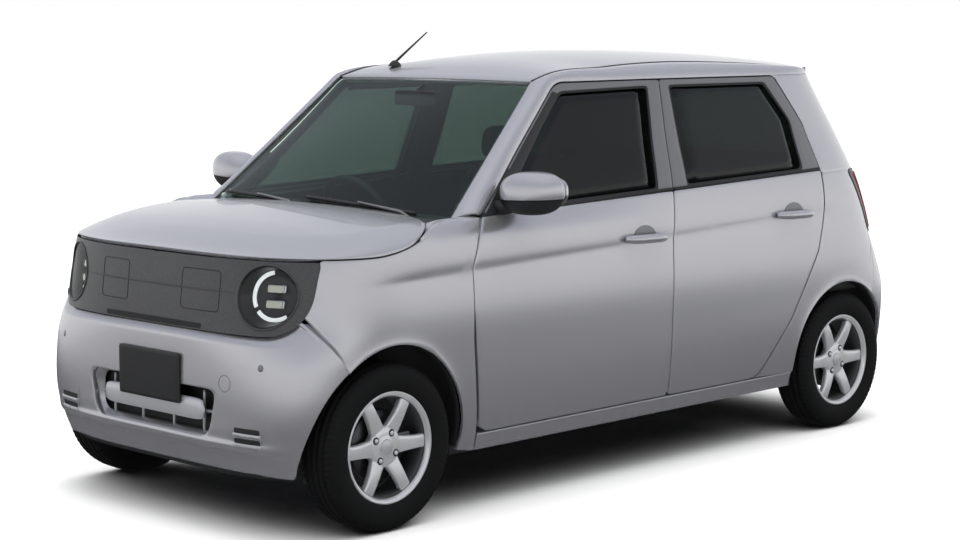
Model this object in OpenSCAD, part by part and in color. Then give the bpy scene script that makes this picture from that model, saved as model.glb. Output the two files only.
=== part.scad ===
// Kei car with a closed nose panel, round lamps, four doors and a tailgate.
// X runs forward, Y to the car's left, Z up. The origin is under the middle of the car on the floor.

/* [Overall size] */
// Length over the bumpers
car_l = 3395; // [3300:5:3500]
// Width over the body sides, without the mirrors
body_w = 1475; // [1440:5:1510]
// Height of the roof's crown
roof_z = 1540; // [1525:1:1560]
// Distance between the axles
wheelbase = 2520; // [2480:5:2540]
// Distance from the nose to the front axle
front_overhang = 430; // [425:1:440]

/* [Wheels] */
// Outer radius of the tyres
tyre_r = 278; // [268:1:282]
// Width of the tyres
tyre_w = 155; // [145:1:160]
// Radius of the rim's bead seat, where the tyre sits
rim_r = 178; // [172:1:184]
// Distance between the middle planes of the left and right wheels
track = 1305; // [1290:1:1315]
// Number of spokes
spoke_n = 6; // [5:1:8]
// Radius of the wheel arches
arch_r = 325; // [318:1:330]
// Distance of the steering axis from the car's middle
kingpin_y = 612; // [605:1:620]

/* [Body lines] */
// Height of the sill's lower edge
sill_low_z = 205; // [190:1:215]
// Height of the doors' lower edge
sill_z = 270; // [262:1:280]
// Height of the window line half-way along the car
belt_z = 1031; // [1020:1:1040]
// Rise of the window line towards the rear, per mm
belt_rise = 0.030; // [0.02:0.005:0.04]
// Height of the doors' upper edge
drip_z = 1438; // [1430:1:1444]
// Height of the seam between bonnet and nose
hood_z = 905; // [895:1:910]
// Height of the nose panel's lower edge
nose_low_z = 660; // [650:1:670]
// Width of the gap around doors and lids
shut_gap = 5; // [5:0.5:6]

/* [Panels] */
// Thickness of a door
door_t = 62; // [56:1:66]
// Thickness of a door's window frame
frame_t = 36; // [32:1:40]
// Thickness of the outer body shells
shell_t = 32; // [28:1:36]
// Thickness of the window glass
glass_t = 5; // [4:0.5:6]
// Width of the seat for a lifting jack
jack_w = 60; // [50:1:70]
// Play between pieces that are seated on each other
seat_gap = 0.3; // [0.2:0.1:0.5]

/* [Hidden] */
$fn = 48;
nose_x = car_l / 2;
half_w = body_w / 2;
axle_f = nose_x - front_overhang;
axle_r = axle_f - wheelbase;

// Inner face of the tyres
tyre_in_y = track / 2 - tyre_w / 2;
// The body is drawn on stations that follow its ends and axles. Columns: drawn station, real station
STATIONS = [[-2697.5, -nose_x - 1000], [-1697.5, -nose_x], [-1252.5, axle_r], [1267.5, axle_f],
    [1697.5, nose_x], [2697.5, nose_x + 1000]];
drawn_nose = STATIONS[4][0];
// Half width that the body is drawn for, and the real place of a drawn width
drawn_half = 737.5;
// The front corners round off ahead of this drawn station
corner_f = STATIONS[3][0] - 17;
function station(x) = let(i = row_of(STATIONS, x), a = STATIONS[i], b = STATIONS[i + 1])
    a[1] + (x - a[0]) * (b[1] - a[1]) / (b[0] - a[0]);
function aside(y) = y * half_w / drawn_half;
function placed(p) = [station(p[0]), aside(p[1]), p[2]];
function side_view(c) = [for (p = c) [station(p[0]), p[1]]];
function front_view(c) = [for (p = c) [aside(p[0]), p[1]]];
// Block from a drawn corner, with its drawn size
module block(corner, size) {
    a = placed(corner);
    translate(a) cube(placed(corner + size) - a);
}

// Body rings. Columns: height, inset of the side, setback of the nose, squareness of the nose
// corners, setback of the tail, squareness of the tail corners, station where the tail rounds off
RING = [
    [200, 47, 40, 4.5, 45, 4.5, -1200],
    [290, 22, 9, 4.5, 10, 4.8, -1200],
    [400, 10, 8, 5.0, 0, 5.0, -1200],
    [560, 4, 11, 4.5, 2, 5.0, -1200],
    [680, 1, 14, 3.4, 14, 4.2, -1150],
    [780, 3, 22, 3.1, 27, 3.7, -1100],
    [905, 10, 42, 3.0, 32, 3.4, -1020],
    [1045, 31, 110, 3.0, 42, 3.1, -950],
    [1216, 82, 200, 3.0, 122, 3.0, -910],
    [1361, 122, 300, 3.0, 217, 2.9, -900],
    [1460, 150, 400, 3.0, 277, 2.85, -900]];
Z = 0;
SIDE = 1;
NOSE = 2;
NOSE_N = 3;
TAIL = 4;
TAIL_N = 5;
TAIL_X = 6;

// Height of the bonnet's top and of the roof's crown along the car. Columns: station, height
BONNET = [[880, 1012], [1000, 1018], [1129, 1016], [1354, 990], [1528, 952], [1700, 905]];
ROOF = [[-1440, -66], [-1250, -38], [-900, -14], [-450, 0], [-150, -5], [100, -24], [250, -50], [400, -98]];

function clamp01(u) = min(1, max(0, u));
function blend(u) = let(c = clamp01(u)) c * c * (3 - 2 * c);
function mix(a, b, u) = a + (b - a) * u;
// Row of a table that holds a value, and the slope of a column there
function row_of(t, v) = max([0, for (i = [0:len(t) - 2]) if (v >= t[i][0]) i]);
function slope(t, i, c) =
    let(a = max(0, i - 1), b = min(len(t) - 1, i + 1)) (t[b][c] - t[a][c]) / (t[b][0] - t[a][0]);
// Smooth curve through a table's column
function along(t, v, c) =
    let(i = row_of(t, v), h = t[i + 1][0] - t[i][0], u = clamp01((v - t[i][0]) / h))
    (2 * u * u * u - 3 * u * u + 1) * t[i][c] + (u * u * u - 2 * u * u + u) * h * slope(t, i, c)
    + (3 * u * u - 2 * u * u * u) * t[i + 1][c] + (u * u * u - u * u) * h * slope(t, i + 1, c);

function half_at(z) = drawn_half - along(RING, z, SIDE);
// Distance from the middle to the body's side at a station and height
function side_y(x, z) =
    let(b = half_at(z), tx = along(RING, z, TAIL_X), tn = along(RING, z, TAIL_N),
        ta = tx + drawn_nose - along(RING, z, TAIL), fn = along(RING, z, NOSE_N),
        fa = drawn_nose - along(RING, z, NOSE) - corner_f)
    x > corner_f ? b * pow(max(0.0001, 1 - pow(min(1, (x - corner_f) / fa), fn)), 1 / fn)
    : x < tx ? b * pow(max(0.0001, 1 - pow(min(1, (tx - x) / ta), tn)), 1 / tn) : b;
// Point of the rounded front or rear end: angle 0 is the middle, 90 the side
function oval(a, b, n, phi) = pow(pow(abs(cos(phi)) / a, n) + pow(abs(sin(phi)) / b, n), -1 / n);
function nose_pt(phi, z, d = 0) =
    let(a = drawn_nose - along(RING, z, NOSE) - corner_f - d, b = half_at(z) - d,
        r = oval(a, b, along(RING, z, NOSE_N), phi))
    [corner_f + r * cos(phi), r * sin(phi), z];
function tail_pt(phi, z, d = 0) =
    let(tx = along(RING, z, TAIL_X), a = tx + drawn_nose - along(RING, z, TAIL) - d, b = half_at(z) - d,
        r = oval(a, b, along(RING, z, TAIL_N), phi))
    [tx - r * cos(phi), r * sin(phi), z];
function belt(x) = belt_z - belt_rise * x;
function roof_at(x, y) =
    roof_z + along(ROOF, x, 1) - (6 + 34 * blend((400 - x) / 420)) * pow(abs(y) / 508, 2.2);

// Closed shell between two grids of points of the same size, its faces turned outwards
function grid_faces(n, m, k, flip) = [for (i = [0:n - 2], j = [0:m - 2])
    let(a = k + i * m + j, b = a + m, c = b + 1, d = a + 1)
    each flip ? [[a, d, c], [a, c, b]] : [[a, b, c], [a, c, d]]];
function rim_loop(n, m) = concat([for (i = [0:n - 2]) i * m], [for (j = [0:m - 2]) (n - 1) * m + j],
    [for (i = [n - 1:-1:1]) i * m + m - 1], [for (j = [m - 1:-1:1]) j]);
function total(v, i = 0) = i < len(v) ? v[i] + total(v, i + 1) : 0;
module slab(outer, inner) {
    n = len(outer);
    m = len(outer[0]);
    k = n * m;
    rim = rim_loop(n, m);
    pts = [for (g = [outer, inner]) for (r = g) for (p = r) placed(p)];
    walls = [for (i = [0:len(rim) - 1]) let(p = rim[i], q = rim[(i + 1) % len(rim)])
        each [[q, p, p + k], [q, p + k, q + k]]];
    faces = concat(grid_faces(n, m, 0, false), grid_faces(n, m, k, true), walls);
    turned = total([for (f = faces) pts[f[0]] * cross(pts[f[1]], pts[f[2]])]) > 0;
    polyhedron(points = pts, faces = turned ? [for (f = faces) [f[0], f[2], f[1]]] : faces);
}
// Left body side between lists of stations and heights, d0 to d1 below its surface
module side_skin(xs, zs, d0, d1) {
    slab([for (x = xs) [for (z = zs) [x, side_y(x, z) - d0, z]]],
        [for (x = xs) [for (z = zs) [x, side_y(x, z) - d1, z]]]);
}
module nose_skin(phis, zs, d0, d1) {
    slab([for (p = phis) [for (z = zs) nose_pt(p, z, d0)]],
        [for (p = phis) [for (z = zs) nose_pt(p, z, d1)]]);
}
module tail_skin(phis, zs, d0, d1) {
    slab([for (p = phis) [for (z = zs) tail_pt(p, z, d0)]], [for (p = phis) [for (z = zs) tail_pt(p, z, d1)]]);
}
// Prisms of an outline seen from the side (x, z) or from the front (y, z), between drawn limits
module across(y0, y1) {
    translate([0, aside(y1), 0]) rotate([90, 0, 0]) linear_extrude(aside(y1 - y0)) children();
}
module lengthways(x0, x1) {
    translate([station(x0), 0, 0]) rotate([90, 0, 90]) linear_extrude(station(x1) - station(x0)) children();
}
module both_sides() {
    children();
    mirror([0, 1, 0]) children();
}
module on_side(s) {
    if (s > 0) children();
    else mirror([0, 1, 0]) children();
}
// Outline with rounded corners. Columns: first coordinate, second coordinate, corner radius
function rounded(c, step = 5) = [for (i = [0:len(c) - 1])
    let(n = len(c), p = [c[i][0], c[i][1]], a = c[(i + n - 1) % n], b = c[(i + 1) % n],
        u = [a[0], a[1]] - p, v = [b[0], b[1]] - p, uu = u / norm(u), vv = v / norm(v),
        half = acos(max(-1, min(1, uu * vv))) / 2, l = c[i][2] / max(0.02, tan(half)))
    each c[i][2] == 0 ? [p] : [for (k = [0:step]) let(t = k / step)
        (1 - t) * (1 - t) * (p + l * uu) + 2 * t * (1 - t) * p + t * t * (p + l * vv)]];

// Side view outlines. Columns: x, z, corner radius. The first grows a door by a margin
b_x = -152;
function door_front(g) = [[853 + g, sill_z - g, 60], [893 + g, 690, 90], [893 + g, 840, 60],
    [838 + g, belt(838) - 3 + g, 4], [398 + g, drip_z + g, 60], [b_x - 70 - g, drip_z + g, 4],
    [b_x - 22 - g, belt(b_x), 100], [b_x - g, 800, 100], [b_x + 6 - g, sill_z - g, 16]];
function door_rear(g) = [[b_x + 6 - shut_gap + g, sill_z - g, 16], [b_x - shut_gap + g, 800, 100],
    [b_x - 22 - shut_gap + g, belt(b_x), 100], [b_x - 70 - shut_gap + g, drip_z + g, 4],
    [-928 - g, drip_z + g, 30], [-1060 - g, 1250, 90], [-1118 - g, 1030, 70], [-1112 - g, 900, 60],
    [-1060 - g, 740, 70], [-900 - g, 490, 120], [-690 - g, sill_z - g, 110]];
function window_front(g) = [[705 - 2 * g, belt(705) + 6 + g, 14], [388 - g, drip_z - 34 - g, 40],
    [b_x - 2 + g, drip_z - 20 - g, 14], [b_x + 58 + g, belt(-90) + 4 + g, 14]];
function window_rear(g) = [[b_x - 110 - g, belt(-260) + 4 + g, 14], [b_x - 120 - g, drip_z - 20 - g, 14],
    [-866 + g, drip_z - 20 - g, 36], [-985 + g, 1262, 60], [-1000 + g, belt(-1000) + 4 + g, 26]];
fender_line = [[862, 208, 6], [893 + 2 * shut_gap, 690, 90], [893 + 2 * shut_gap, 840, 60],
    [838 + 2 * shut_gap, belt(838) - 2, 4], [1026, belt(1026) - 4, 10], [1090, hood_z + 34, 30],
    [1215, hood_z - 7, 60], [1640, hood_z - 14, 2], [1640, 712, 2], [1583, 708, 10], [1462, 560, 2],
    [1300, 430, 2], [1000, 208, 2]];
// Front view outlines. Columns: y, z, corner radius
function nose_line(g) = [[-660 - g, hood_z - 8 + g, 40], [-648 - g, nose_low_z - g, 120],
    [648 + g, nose_low_z - g, 120], [660 + g, hood_z - 8 + g, 40]];
tailgate_low_z = 640;
gate_gap = 9;
function gate_line(g) = [[-545 - g, tailgate_low_z - g, 60], [545 + g, tailgate_low_z - g, 60],
    [585 + g, 1010, 200], [480 + g, 1520, 10], [-480 - g, 1520, 10], [-585 - g, 1010, 200]];
function gate_window(g) = [[-480 + g, 1090 + g, 60], [480 - g, 1090 + g, 60], [420 - g, 1395 - g, 60],
    [-420 + g, 1395 - g, 60]];
function lamp_rear(g) = [[590 - g, 790 - g, 24], [664 + g, 790 - g, 24], [650 + g, 1045 + g, 22],
    [596 - g, 1045 + g, 22]];

door_xs = [900, 600, 200, -200];
rear_xs = [-150, -500, -900, -1000, -1120];
low_zs = [260, 330, 420, 560, 700, 800, 860, 930, 990, 1045];
high_zs = [1045, 1140, 1240, 1340, 1443];
all_zs = [260, 400, 560, 700, 860, 950, 1000, 1060, 1140, 1240, 1340, 1443];

// A door is thinner in its window frame
function door_depth(z) = mix(door_t, frame_t, blend((z - 1000) / 60));
module door(s, line, window, xs, hinge_x, handle_x, handle_z) {
    on_side(s) {
        difference() {
            intersection() {
                slab([for (x = xs) [for (z = all_zs) [x, side_y(x, z), z]]],
                    [for (x = xs) [for (z = all_zs) [x, side_y(x, z) - door_depth(z), z]]]);
                across(400, 800) polygon(side_view(rounded(line)));
            }
            across(400, 800) polygon(side_view(rounded(window)));
        }
        translate(placed([handle_x, side_y(handle_x, handle_z), handle_z])) handle();
        for (z = [420, 800]) {
            hinge_leaf(hinge_x, z);
        }
    }
}
// Leaf that meets the post behind the door's front edge
module hinge_leaf(x, z) {
    side_skin([x, x + 35], [z, z + 45], door_t - 6, post_d - seat_gap);
}
module handle() {
    translate([-95, 8, -14]) cube([190, 14, 28]);
    for (x = [-88, 66]) {
        translate([x, -6, -12]) cube([22, 18, 24]);
    }
}
module door_front_left() { color("silver") door(1, door_front(0), window_front(0), door_xs, 810, 8, 864); }
module door_front_right() { color("silver") door(-1, door_front(0), window_front(0), door_xs, 810, 8, 864); }
module door_rear_left() { color("silver") door(1, door_rear(0), window_rear(0), rear_xs, b_x - 60, -903, 892); }
module door_rear_right() { color("silver") door(-1, door_rear(0), window_rear(0), rear_xs, b_x - 60, -903, 892); }

// Side glass, a little below the frame's surface
glass_in = 12;
glass_fit = 0.6;
module side_glass(s, line, xs) {
    on_side(s) intersection() {
        side_skin(xs, high_zs, glass_in, glass_in + glass_t);
        across(400, 800) polygon(side_view(rounded(line)));
    }
}
module glass_front_left() { color("dimgray") side_glass(1, window_front(glass_fit), door_xs); }
module glass_front_right() { color("dimgray") side_glass(-1, window_front(glass_fit), door_xs); }
module glass_rear_left() { color("dimgray") side_glass(1, window_rear(glass_fit), rear_xs); }
module glass_rear_right() { color("dimgray") side_glass(-1, window_rear(glass_fit), rear_xs); }

// Windscreen: corners at the foot and head, bowed across and outwards
screen_foot = [912, 628, 985];
screen_head = [384, 506, 1436];
screen_bow = 53;
function screen_pt(u, v) =
    let(y = mix(screen_foot[1], screen_head[1], v) * u, bow = mix(screen_bow, 8, v) * (1 - u * u),
        bulge = 14 * (1 - u * u) * sin(180 * v))
    [mix(screen_foot[0], screen_head[0], v) + bow + bulge, y,
        mix(screen_foot[2], screen_head[2], v) + mix(10, 6, v) * (1 - u * u) + bulge];
screen_us = [-1, -0.75, -0.4, 0, 0.4, 0.75, 1];
screen_vs = [0, 0.25, 0.5, 0.75, 1];
module windscreen() {
    color("dimgray") slab([for (u = screen_us) [for (v = screen_vs) screen_pt(u, v)]],
        [for (u = screen_us) [for (v = screen_vs) screen_pt(u, v) - [glass_t, 0, glass_t]]]);
}

// Left pillar and roof rail. Columns: station and height at the door, station at the upper edge
rail_y = 512;
RAIL = [[847, 1010, 912], [700, 1150, 745], [550, 1297, 565], [403, drip_z + shut_gap, 384],
    [300, drip_z + shut_gap, 300], [0, drip_z + shut_gap, 0], [-400, drip_z + shut_gap, -400],
    [-800, drip_z + shut_gap, -800], [-1000, drip_z + shut_gap, -1000], [-1180, drip_z + shut_gap, -1160]];
function rail_low(r) = [r[0], side_y(r[0], r[1]), r[1]];
function rail_top(r) = let(v = clamp01((screen_foot[0] - r[2]) / (screen_foot[0] - screen_head[0])))
    r[2] > screen_head[0] - 1 ? screen_pt(1, v) + [2, 6, 4] : [r[2], rail_y, roof_at(r[2], rail_y)];
function rail_pts(r, d) = let(a = rail_low(r), b = rail_top(r), m = (a + b) / 2 + [4, 12, 12])
    [a + [0, -d, 15], m - [0, 0.8 * d, 0], b - [d * 0.3, 0, 0.8 * d]];
quarter_x = -560;
quarter_us = [0, 0.25, 0.45, 0.6, 0.72, 0.82, 0.9, 0.96, 1];
quarter_zs = [200, 270, 400, 560, 700, 860, 950, 1045, 1140, 1240, 1340, 1446];
// Rear station of the quarter panel at a height, short of the body's end
function quarter_end(z) = let(tx = along(RING, z, TAIL_X)) tx - 0.86 * (tx + drawn_nose - along(RING, z, TAIL));
function quarter_pt(u, z, d) = let(x = mix(quarter_x, quarter_end(z), u)) [x, side_y(x, z) - d, z];
quarter_line = [[-560, 208, 2], [-560, drip_z + 6, 2], [-1640, drip_z + 6, 2], [-1640, 775, 2],
    [-1480, 775, 10], [-1462, 560, 2], [-1200, 208, 2]];
module body_side(s) {
    on_side(s) {
        slab([for (r = RAIL) rail_pts(r, 0)], [for (r = RAIL) rail_pts(r, 17)]);
        difference() {
            intersection() {
                slab([for (u = quarter_us) [for (z = quarter_zs) quarter_pt(u, z, 0)]],
                    [for (u = quarter_us) [for (z = quarter_zs) quarter_pt(u, z, 58)]]);
                across(300, 800) polygon(side_view(rounded(quarter_line)));
            }
            across(300, 800) polygon(side_view(rounded(door_rear(shut_gap))));
            arch(axle_r, 300);
            lengthways(-1700, -1300) polygon(front_view(rounded(lamp_rear(1))));
            lengthways(-1800, -1100) polygon(front_view(rounded(gate_line(gate_gap))));
        }
        sill();
        pillar_b();
    }
}
module arch(x, y0) {
    translate([x, aside(y0), tyre_r]) rotate([-90, 0, 0]) cylinder(r = arch_r, h = half_w, $fn = 96);
}
sill_in = 130;
module sill() {
    difference() {
        side_skin([-960, -500, 0, 500, 857], [sill_low_z, 235, sill_z - shut_gap], 0, sill_in);
        for (x = [axle_f, axle_r]) {
            arch(x, 300);
        }
    }
}
// Inner posts that carry the door hinges and locks, inboard of the doors
post_d = door_t + shut_gap + 3;
module pillar_b() {
    side_skin([b_x - 85, b_x + 40], [235, 560, 860, 1045, 1240, drip_z + 20], post_d, post_d + 45);
    difference() {
        side_skin([800, 850], [235, 560, 860, 1010], post_d, post_d + 60);
        arch(axle_f, 300);
    }
}
jack_x = [700, -560];
jack_z = 190;
module body_side_left() { color("silver") body_side(1); }
module body_side_right() { color("silver") body_side(-1); }

roof_xs = [378.4, 300, 150, -100, -450, -800, -1100, -1220];
roof_us = [-1, -0.8, -0.5, 0, 0.5, 0.8, 1];
roof_gap = 0.2;
function roof_pt(x, u, d) = let(w = min(rail_y - roof_gap, side_y(x, 1460) - 68)) [x + (x > 370 ? 8 * (1 - u * u) : 0), w * u, roof_at(x, w * u) - d];
roof_t = 28;
module roof_panel() {
    color("silver") slab([for (x = roof_xs) [for (u = roof_us) roof_pt(x, u, 0)]],
        [for (x = roof_xs) [for (u = roof_us) roof_pt(x, u, roof_t)]]);
}

fender_xs = [855, 1000, 1150, 1280, 1370, 1440, 1500, 1550, 1590, 1620];
module fender(s) {
    on_side(s) difference() {
        intersection() {
            side_skin(fender_xs, [200, 290, 400, 560, 680, 780, 850, 905, 960, 1003], 0, shell_t);
            across(200, 800) polygon(side_view(rounded(fender_line)));
        }
        arch(axle_f, 200);
        lengthways(1400, 1800) polygon(front_view(rounded(nose_line(2 * seat_gap))));
    }
}
module fender_left() { color("silver") fender(1); }
module fender_right() { color("silver") fender(-1); }

// Bonnet: columns run from its rim, the seam with nose and fenders, back to the cowl
hood_phis = [-90, -76, -64, -54, -44, -33, -20, 0, 20, 33, 44, 54, 64, 76, 90];
hood_ts = [0, 0.04, 0.1, 0.2, 0.35, 0.55, 0.78, 1];
hood_round = 190;
hood_rear_x = 945;
function hood_rim(phi) = nose_pt(phi, hood_z + 6 * cos(phi));
function hood_foot(k) = let(u = k / 7) [hood_rear_x + 55 * (1 - u * u) + 90 * pow(abs(u), 6), -640 * -u, 0];
function hood_pt(i, t, d) =
    let(n = len(hood_phis), r = i == 0 ? [1115, -side_y(1115, 950), 952] : i == n + 1 ? [1115, side_y(1115, 950), 952]
        : hood_rim(hood_phis[i - 1]), f = hood_foot((i - (n + 1) / 2) * 7 / ((n + 1) / 2)),
        x = mix(r[0], f[0], t), y = mix(r[1], f[1], t), run = norm([r[0] - f[0], r[1] - f[1]]) * t,
        q = 1 - min(1, run / hood_round), rise = sqrt(1 - q * q),
        top = along(BONNET, x, 1) - 26 * pow(abs(y) / 640, 2), in = d * (1 - rise) * 1.2)
    [x - in * cos(atan2(r[1], r[0] - 1000)), y - in * sin(atan2(r[1], r[0] - 1000)), mix(r[2], max(r[2], top), rise) - d * rise];
module bonnet() {
    n = len(hood_phis) + 2;
    color("silver") slab([for (i = [0:n - 1]) [for (t = hood_ts) hood_pt(i, t, 0)]],
        [for (i = [0:n - 1]) [for (t = hood_ts) hood_pt(i, t, 20)]]);
}

nose_phis = [-80, -68, -58, -50, -42, -32, -18, 0, 18, 32, 42, 50, 58, 68, 80];
lamp_y = 515;
lamp_z = 784;
lamp_r = 100;
module front_bumper() {
    color("silver") for (y = [-440, 380]) {
        block([1630 + seat_gap, y, 570], [26, 60, 60]);
    }
    color("silver") difference() {
        nose_skin(nose_phis, [215, 250, 300, 400, 500, 600, 700], 0, shell_t);
        both_sides() {
            across(200, 800) polygon(side_view(rounded([for (p = fender_line) [p[0] + 3, p[1] - 4, p[2]]])));
            arch(axle_f, 200);
            for (z = [322, 362]) {
                lengthways(1500, 1750) translate([aside(428), z]) square([aside(110), 20]);
            }
        }
        lengthways(1400, 1800) polygon(front_view(rounded(nose_line(2 * seat_gap))));
        lengthways(1400, 1800) polygon(front_view(rounded(intake_line(0))));
    }
}
function intake_line(g) = [[-325 + g, 318 + g, 40], [325 - g, 318 + g, 40], [325 - g, 462 - g, 30], [-325 + g, 462 - g, 30]];
module lower_grille() {
    color("silver") intersection() {
        nose_skin([-30, -18, 0, 18, 30], [300, 400, 480], 18, 34);
        lengthways(1400, 1800) difference() {
            polygon(front_view(rounded(intake_line(0.5))));
            for (i = [0:4], k = [0:1]) {
                translate([aside(-308 + i * 125), k == 0 ? 328 : 402]) square([aside(115), k == 0 ? 62 : 52]);
            }
        }
    }
}
module nose_panel() {
    color("dimgray") for (y = [-280, 220]) {
        block([1605, y, 640 + seat_gap], [41, 60, 60]);
        block([1640, y, 670], [18, 60, 30]);
    }
    color("dimgray") difference() {
        intersection() {
            nose_skin(nose_phis, [650, 700, 780, 850, 905], 4, shell_t);
            lengthways(1400, 1800) polygon(front_view(rounded(nose_line(0))));
        }
        both_sides() translate([axle_f, aside(lamp_y), lamp_z]) rotate([0, 90, 0])
            cylinder(r = lamp_r + seat_gap, h = 2 * front_overhang);
    }
}
module headlamps() {
    color("black") both_sides() translate([0, aside(lamp_y), lamp_z]) rotate([0, 90, 0]) {
        translate([0, 0, station(1530)]) cylinder(r = lamp_r, h = 80);
        translate([0, 0, station(1600)]) cylinder(r = 74, h = 42);
    }
}
plate_t = 8.6;
module front_plate() {
    color("black") translate([nose_x - plate_t, -165, 408]) cube([plate_t, 330, 165]);
}
module cowl_panel() {
    color("black") slab([for (u = screen_us) [screen_pt(u, 0) + [-4, 0, -18], [1040 - 90 * u * u, 655 * u, 962]]],
        [for (u = screen_us) [screen_pt(u, 0) + [-4, 0, -34], [1040 - 90 * u * u, 655 * u, 946]]]);
}
module wipers() {
    color("black") for (w = [[470, 210], [-130, 210]]) {
        foot = placed(screen_pt(w[0] / 640, 0.02) + [16, 0, 20]);
        tip = placed(screen_pt((w[0] - 500) / 640, 0.06) + [16, 0, 16]);
        hull() {
            translate(foot) sphere(r = 9, $fn = 16);
            translate(tip) sphere(r = 7, $fn = 16);
        }
        translate(foot - [-8, 0, 49]) cylinder(r = 8, h = 49);
    }
}
antenna_at = [269, -318];
module antenna() {
    base = roof_at(antenna_at[0], -antenna_at[1]);
    color("black") translate(placed([antenna_at[0], antenna_at[1], base + 2.8])) {
        cylinder(r1 = 24, r2 = 12, h = 22);
        translate([-4, 0, 14]) rotate([0, -55, 0]) cylinder(r = 3.5, h = 205);
    }
}

gate_phis = [-75, -62, -50, -38, -24, -8, 8, 24, 38, 50, 62, 75];
gate_zs = [630, 680, 780, 905, 1045, 1140, 1240, 1340, 1400, 1443];
gate_t = 46;
spoiler_xs = [-1225, -1300, -1370, -1425];
plate_hole_y = 105;
plate_hole_r = 3.5;
module tailgate() {
    color("silver") {
        difference() {
            intersection() {
                tail_skin(gate_phis, gate_zs, 0, gate_t);
                lengthways(-1800, -1000) polygon(front_view(rounded(gate_line(0))));
            }
            lengthways(-1800, -1000) polygon(front_view(rounded(gate_window(0))));
            for (s = [-1, 1]) {
                translate([-nose_x, s * plate_hole_y, 730]) rotate([0, 90, 0]) cylinder(r = plate_hole_r, h = 200);
            }
        }
        for (y = [-330, 290]) {
            block([-1260, y, 1468], [40 - seat_gap, 40, 16]);
        }
        slab([for (x = spoiler_xs) [for (u = roof_us) spoiler_pt(x, u, 0)]],
            [for (x = spoiler_xs) [for (u = roof_us) spoiler_pt(x, u, x > -1400 ? 70 : 22)]]);
    }
}
function spoiler_pt(x, u, d) = let(w = 470 - (-1225 - x) * 0.15) [x - 18 * (1 - u * u), w * u, roof_at(x, w * u) - d];
module tailgate_glass() {
    color("dimgray") intersection() {
        tail_skin(gate_phis, [1045, 1140, 1240, 1340, 1400, 1443], 10, 10 + glass_t);
        lengthways(-1800, -1000) polygon(front_view(rounded(gate_window(glass_fit))));
    }
}
module rear_bumper() {
    color("silver") for (y = [-340, 280]) {
        block([-1676, y, 535], [116 - seat_gap, 60, 60]);
    }
    color("silver") difference() {
        tail_skin([-78, -68, -58, -50, -42, -32, -18, 0, 18, 32, 42, 50, 58, 68, 78],
            [215, 250, 300, 400, 560, 680, 770], 0, shell_t);
        both_sides() {
            across(200, 800) polygon(side_view(rounded([for (p = quarter_line) [p[0] - 3, p[1] - 3, p[2]]])));
            arch(axle_r, 200);
        }
        lengthways(-1800, -1200) polygon(front_view(rounded(gate_line(shut_gap))));
        lengthways(-1800, -1200) polygon(front_view(rounded(lamp_rear(2))));
        lengthways(-1800, -1200) mirror([1, 0]) polygon(front_view(rounded(lamp_rear(2))));
    }
}
module tail_lamps() {
    color("darkred") both_sides() intersection() {
        tail_skin([42, 48, 54, 60, 66, 72], [770, 840, 905, 980, 1060], 0, 34);
        lengthways(-1660, -1300) polygon(front_view(rounded(lamp_rear(0))));
    }
}

mirror_at = [690, 808, 1078];
module mirror_pod(s) {
    color("silver") on_side(s) {
        difference() {
            translate(placed(mirror_at)) rotate([0, 0, -8]) hull() {
                for (y = [-48, 48], z = [-36, 40]) {
                    translate([y > 0 ? 4 : 14, y, z]) sphere(r = 40, $fn = 24);
                }
            }
            translate(placed(mirror_at) - [110, 150, 120]) cube([80, 300, 240]);
        }
        block([730, side_y(730, 1015) - 0.5, 1015], [55, 60, 26]);
    }
}
module mirror_left() { mirror_pod(1); }
module mirror_right() { mirror_pod(-1); }

module at_wheel(x, s) {
    translate([x, s * track / 2, tyre_r]) rotate([s > 0 ? -90 : 90, 0, 0]) children();
}
shoulder_r = 26;
module tyre(x, s) {
    color("black") at_wheel(x, s) rotate_extrude($fn = 96) difference() {
        union() {
            translate([rim_r, -tyre_w / 2 + 12]) square([tyre_r - shoulder_r - rim_r, tyre_w - 24]);
            translate([rim_r + 22, -tyre_w / 2]) square([tyre_r - shoulder_r - rim_r - 22, tyre_w]);
            translate([rim_r + 22, -tyre_w / 2 + shoulder_r]) square([tyre_r - rim_r - 22, tyre_w - 2 * shoulder_r]);
            for (e = [-1, 1]) {
                translate([tyre_r - shoulder_r, e * (tyre_w / 2 - shoulder_r)]) circle(r = shoulder_r);
            }
        }
        translate([rim_r - 1, -38]) square([tyre_r - rim_r - 16, 76]);
    }
}
module tyre_front_left() { tyre(axle_f, 1); }
module tyre_front_right() { tyre(axle_f, -1); }
module tyre_rear_left() { tyre(axle_r, 1); }
module tyre_rear_right() { tyre(axle_r, -1); }

rim_w = 118;
hub_r = 70;
face_z = 46;
disc_r = 115;
lug_circle_r = 50;
module wheel(x, s) {
    color("lightgray") at_wheel(x, s) {
        rotate_extrude($fn = 96) translate([rim_r - 14, -rim_w / 2]) square([13.5, rim_w]);
        difference() {
            cylinder(r = hub_r, h = face_z);
            for (a = [45:90:315]) {
                rotate(a) translate([lug_circle_r, 0, face_z - 14]) cylinder(r = 12, h = 20);
            }
        }
        for (i = [0:spoke_n - 1]) {
            rotate(i * 360 / spoke_n) translate([0, 0, face_z - 31]) linear_extrude(28)
                polygon([[hub_r - 5, -30], [rim_r - 8, -21], [rim_r - 8, 21], [hub_r - 5, 30]]);
        }
        translate([0, 0, -14]) cylinder(r = disc_r, h = 18);
    }
}
module wheel_front_left() { wheel(axle_f, 1); }
module wheel_front_right() { wheel(axle_f, -1); }
module wheel_rear_left() { wheel(axle_r, 1); }
module wheel_rear_right() { wheel(axle_r, -1); }

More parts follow.
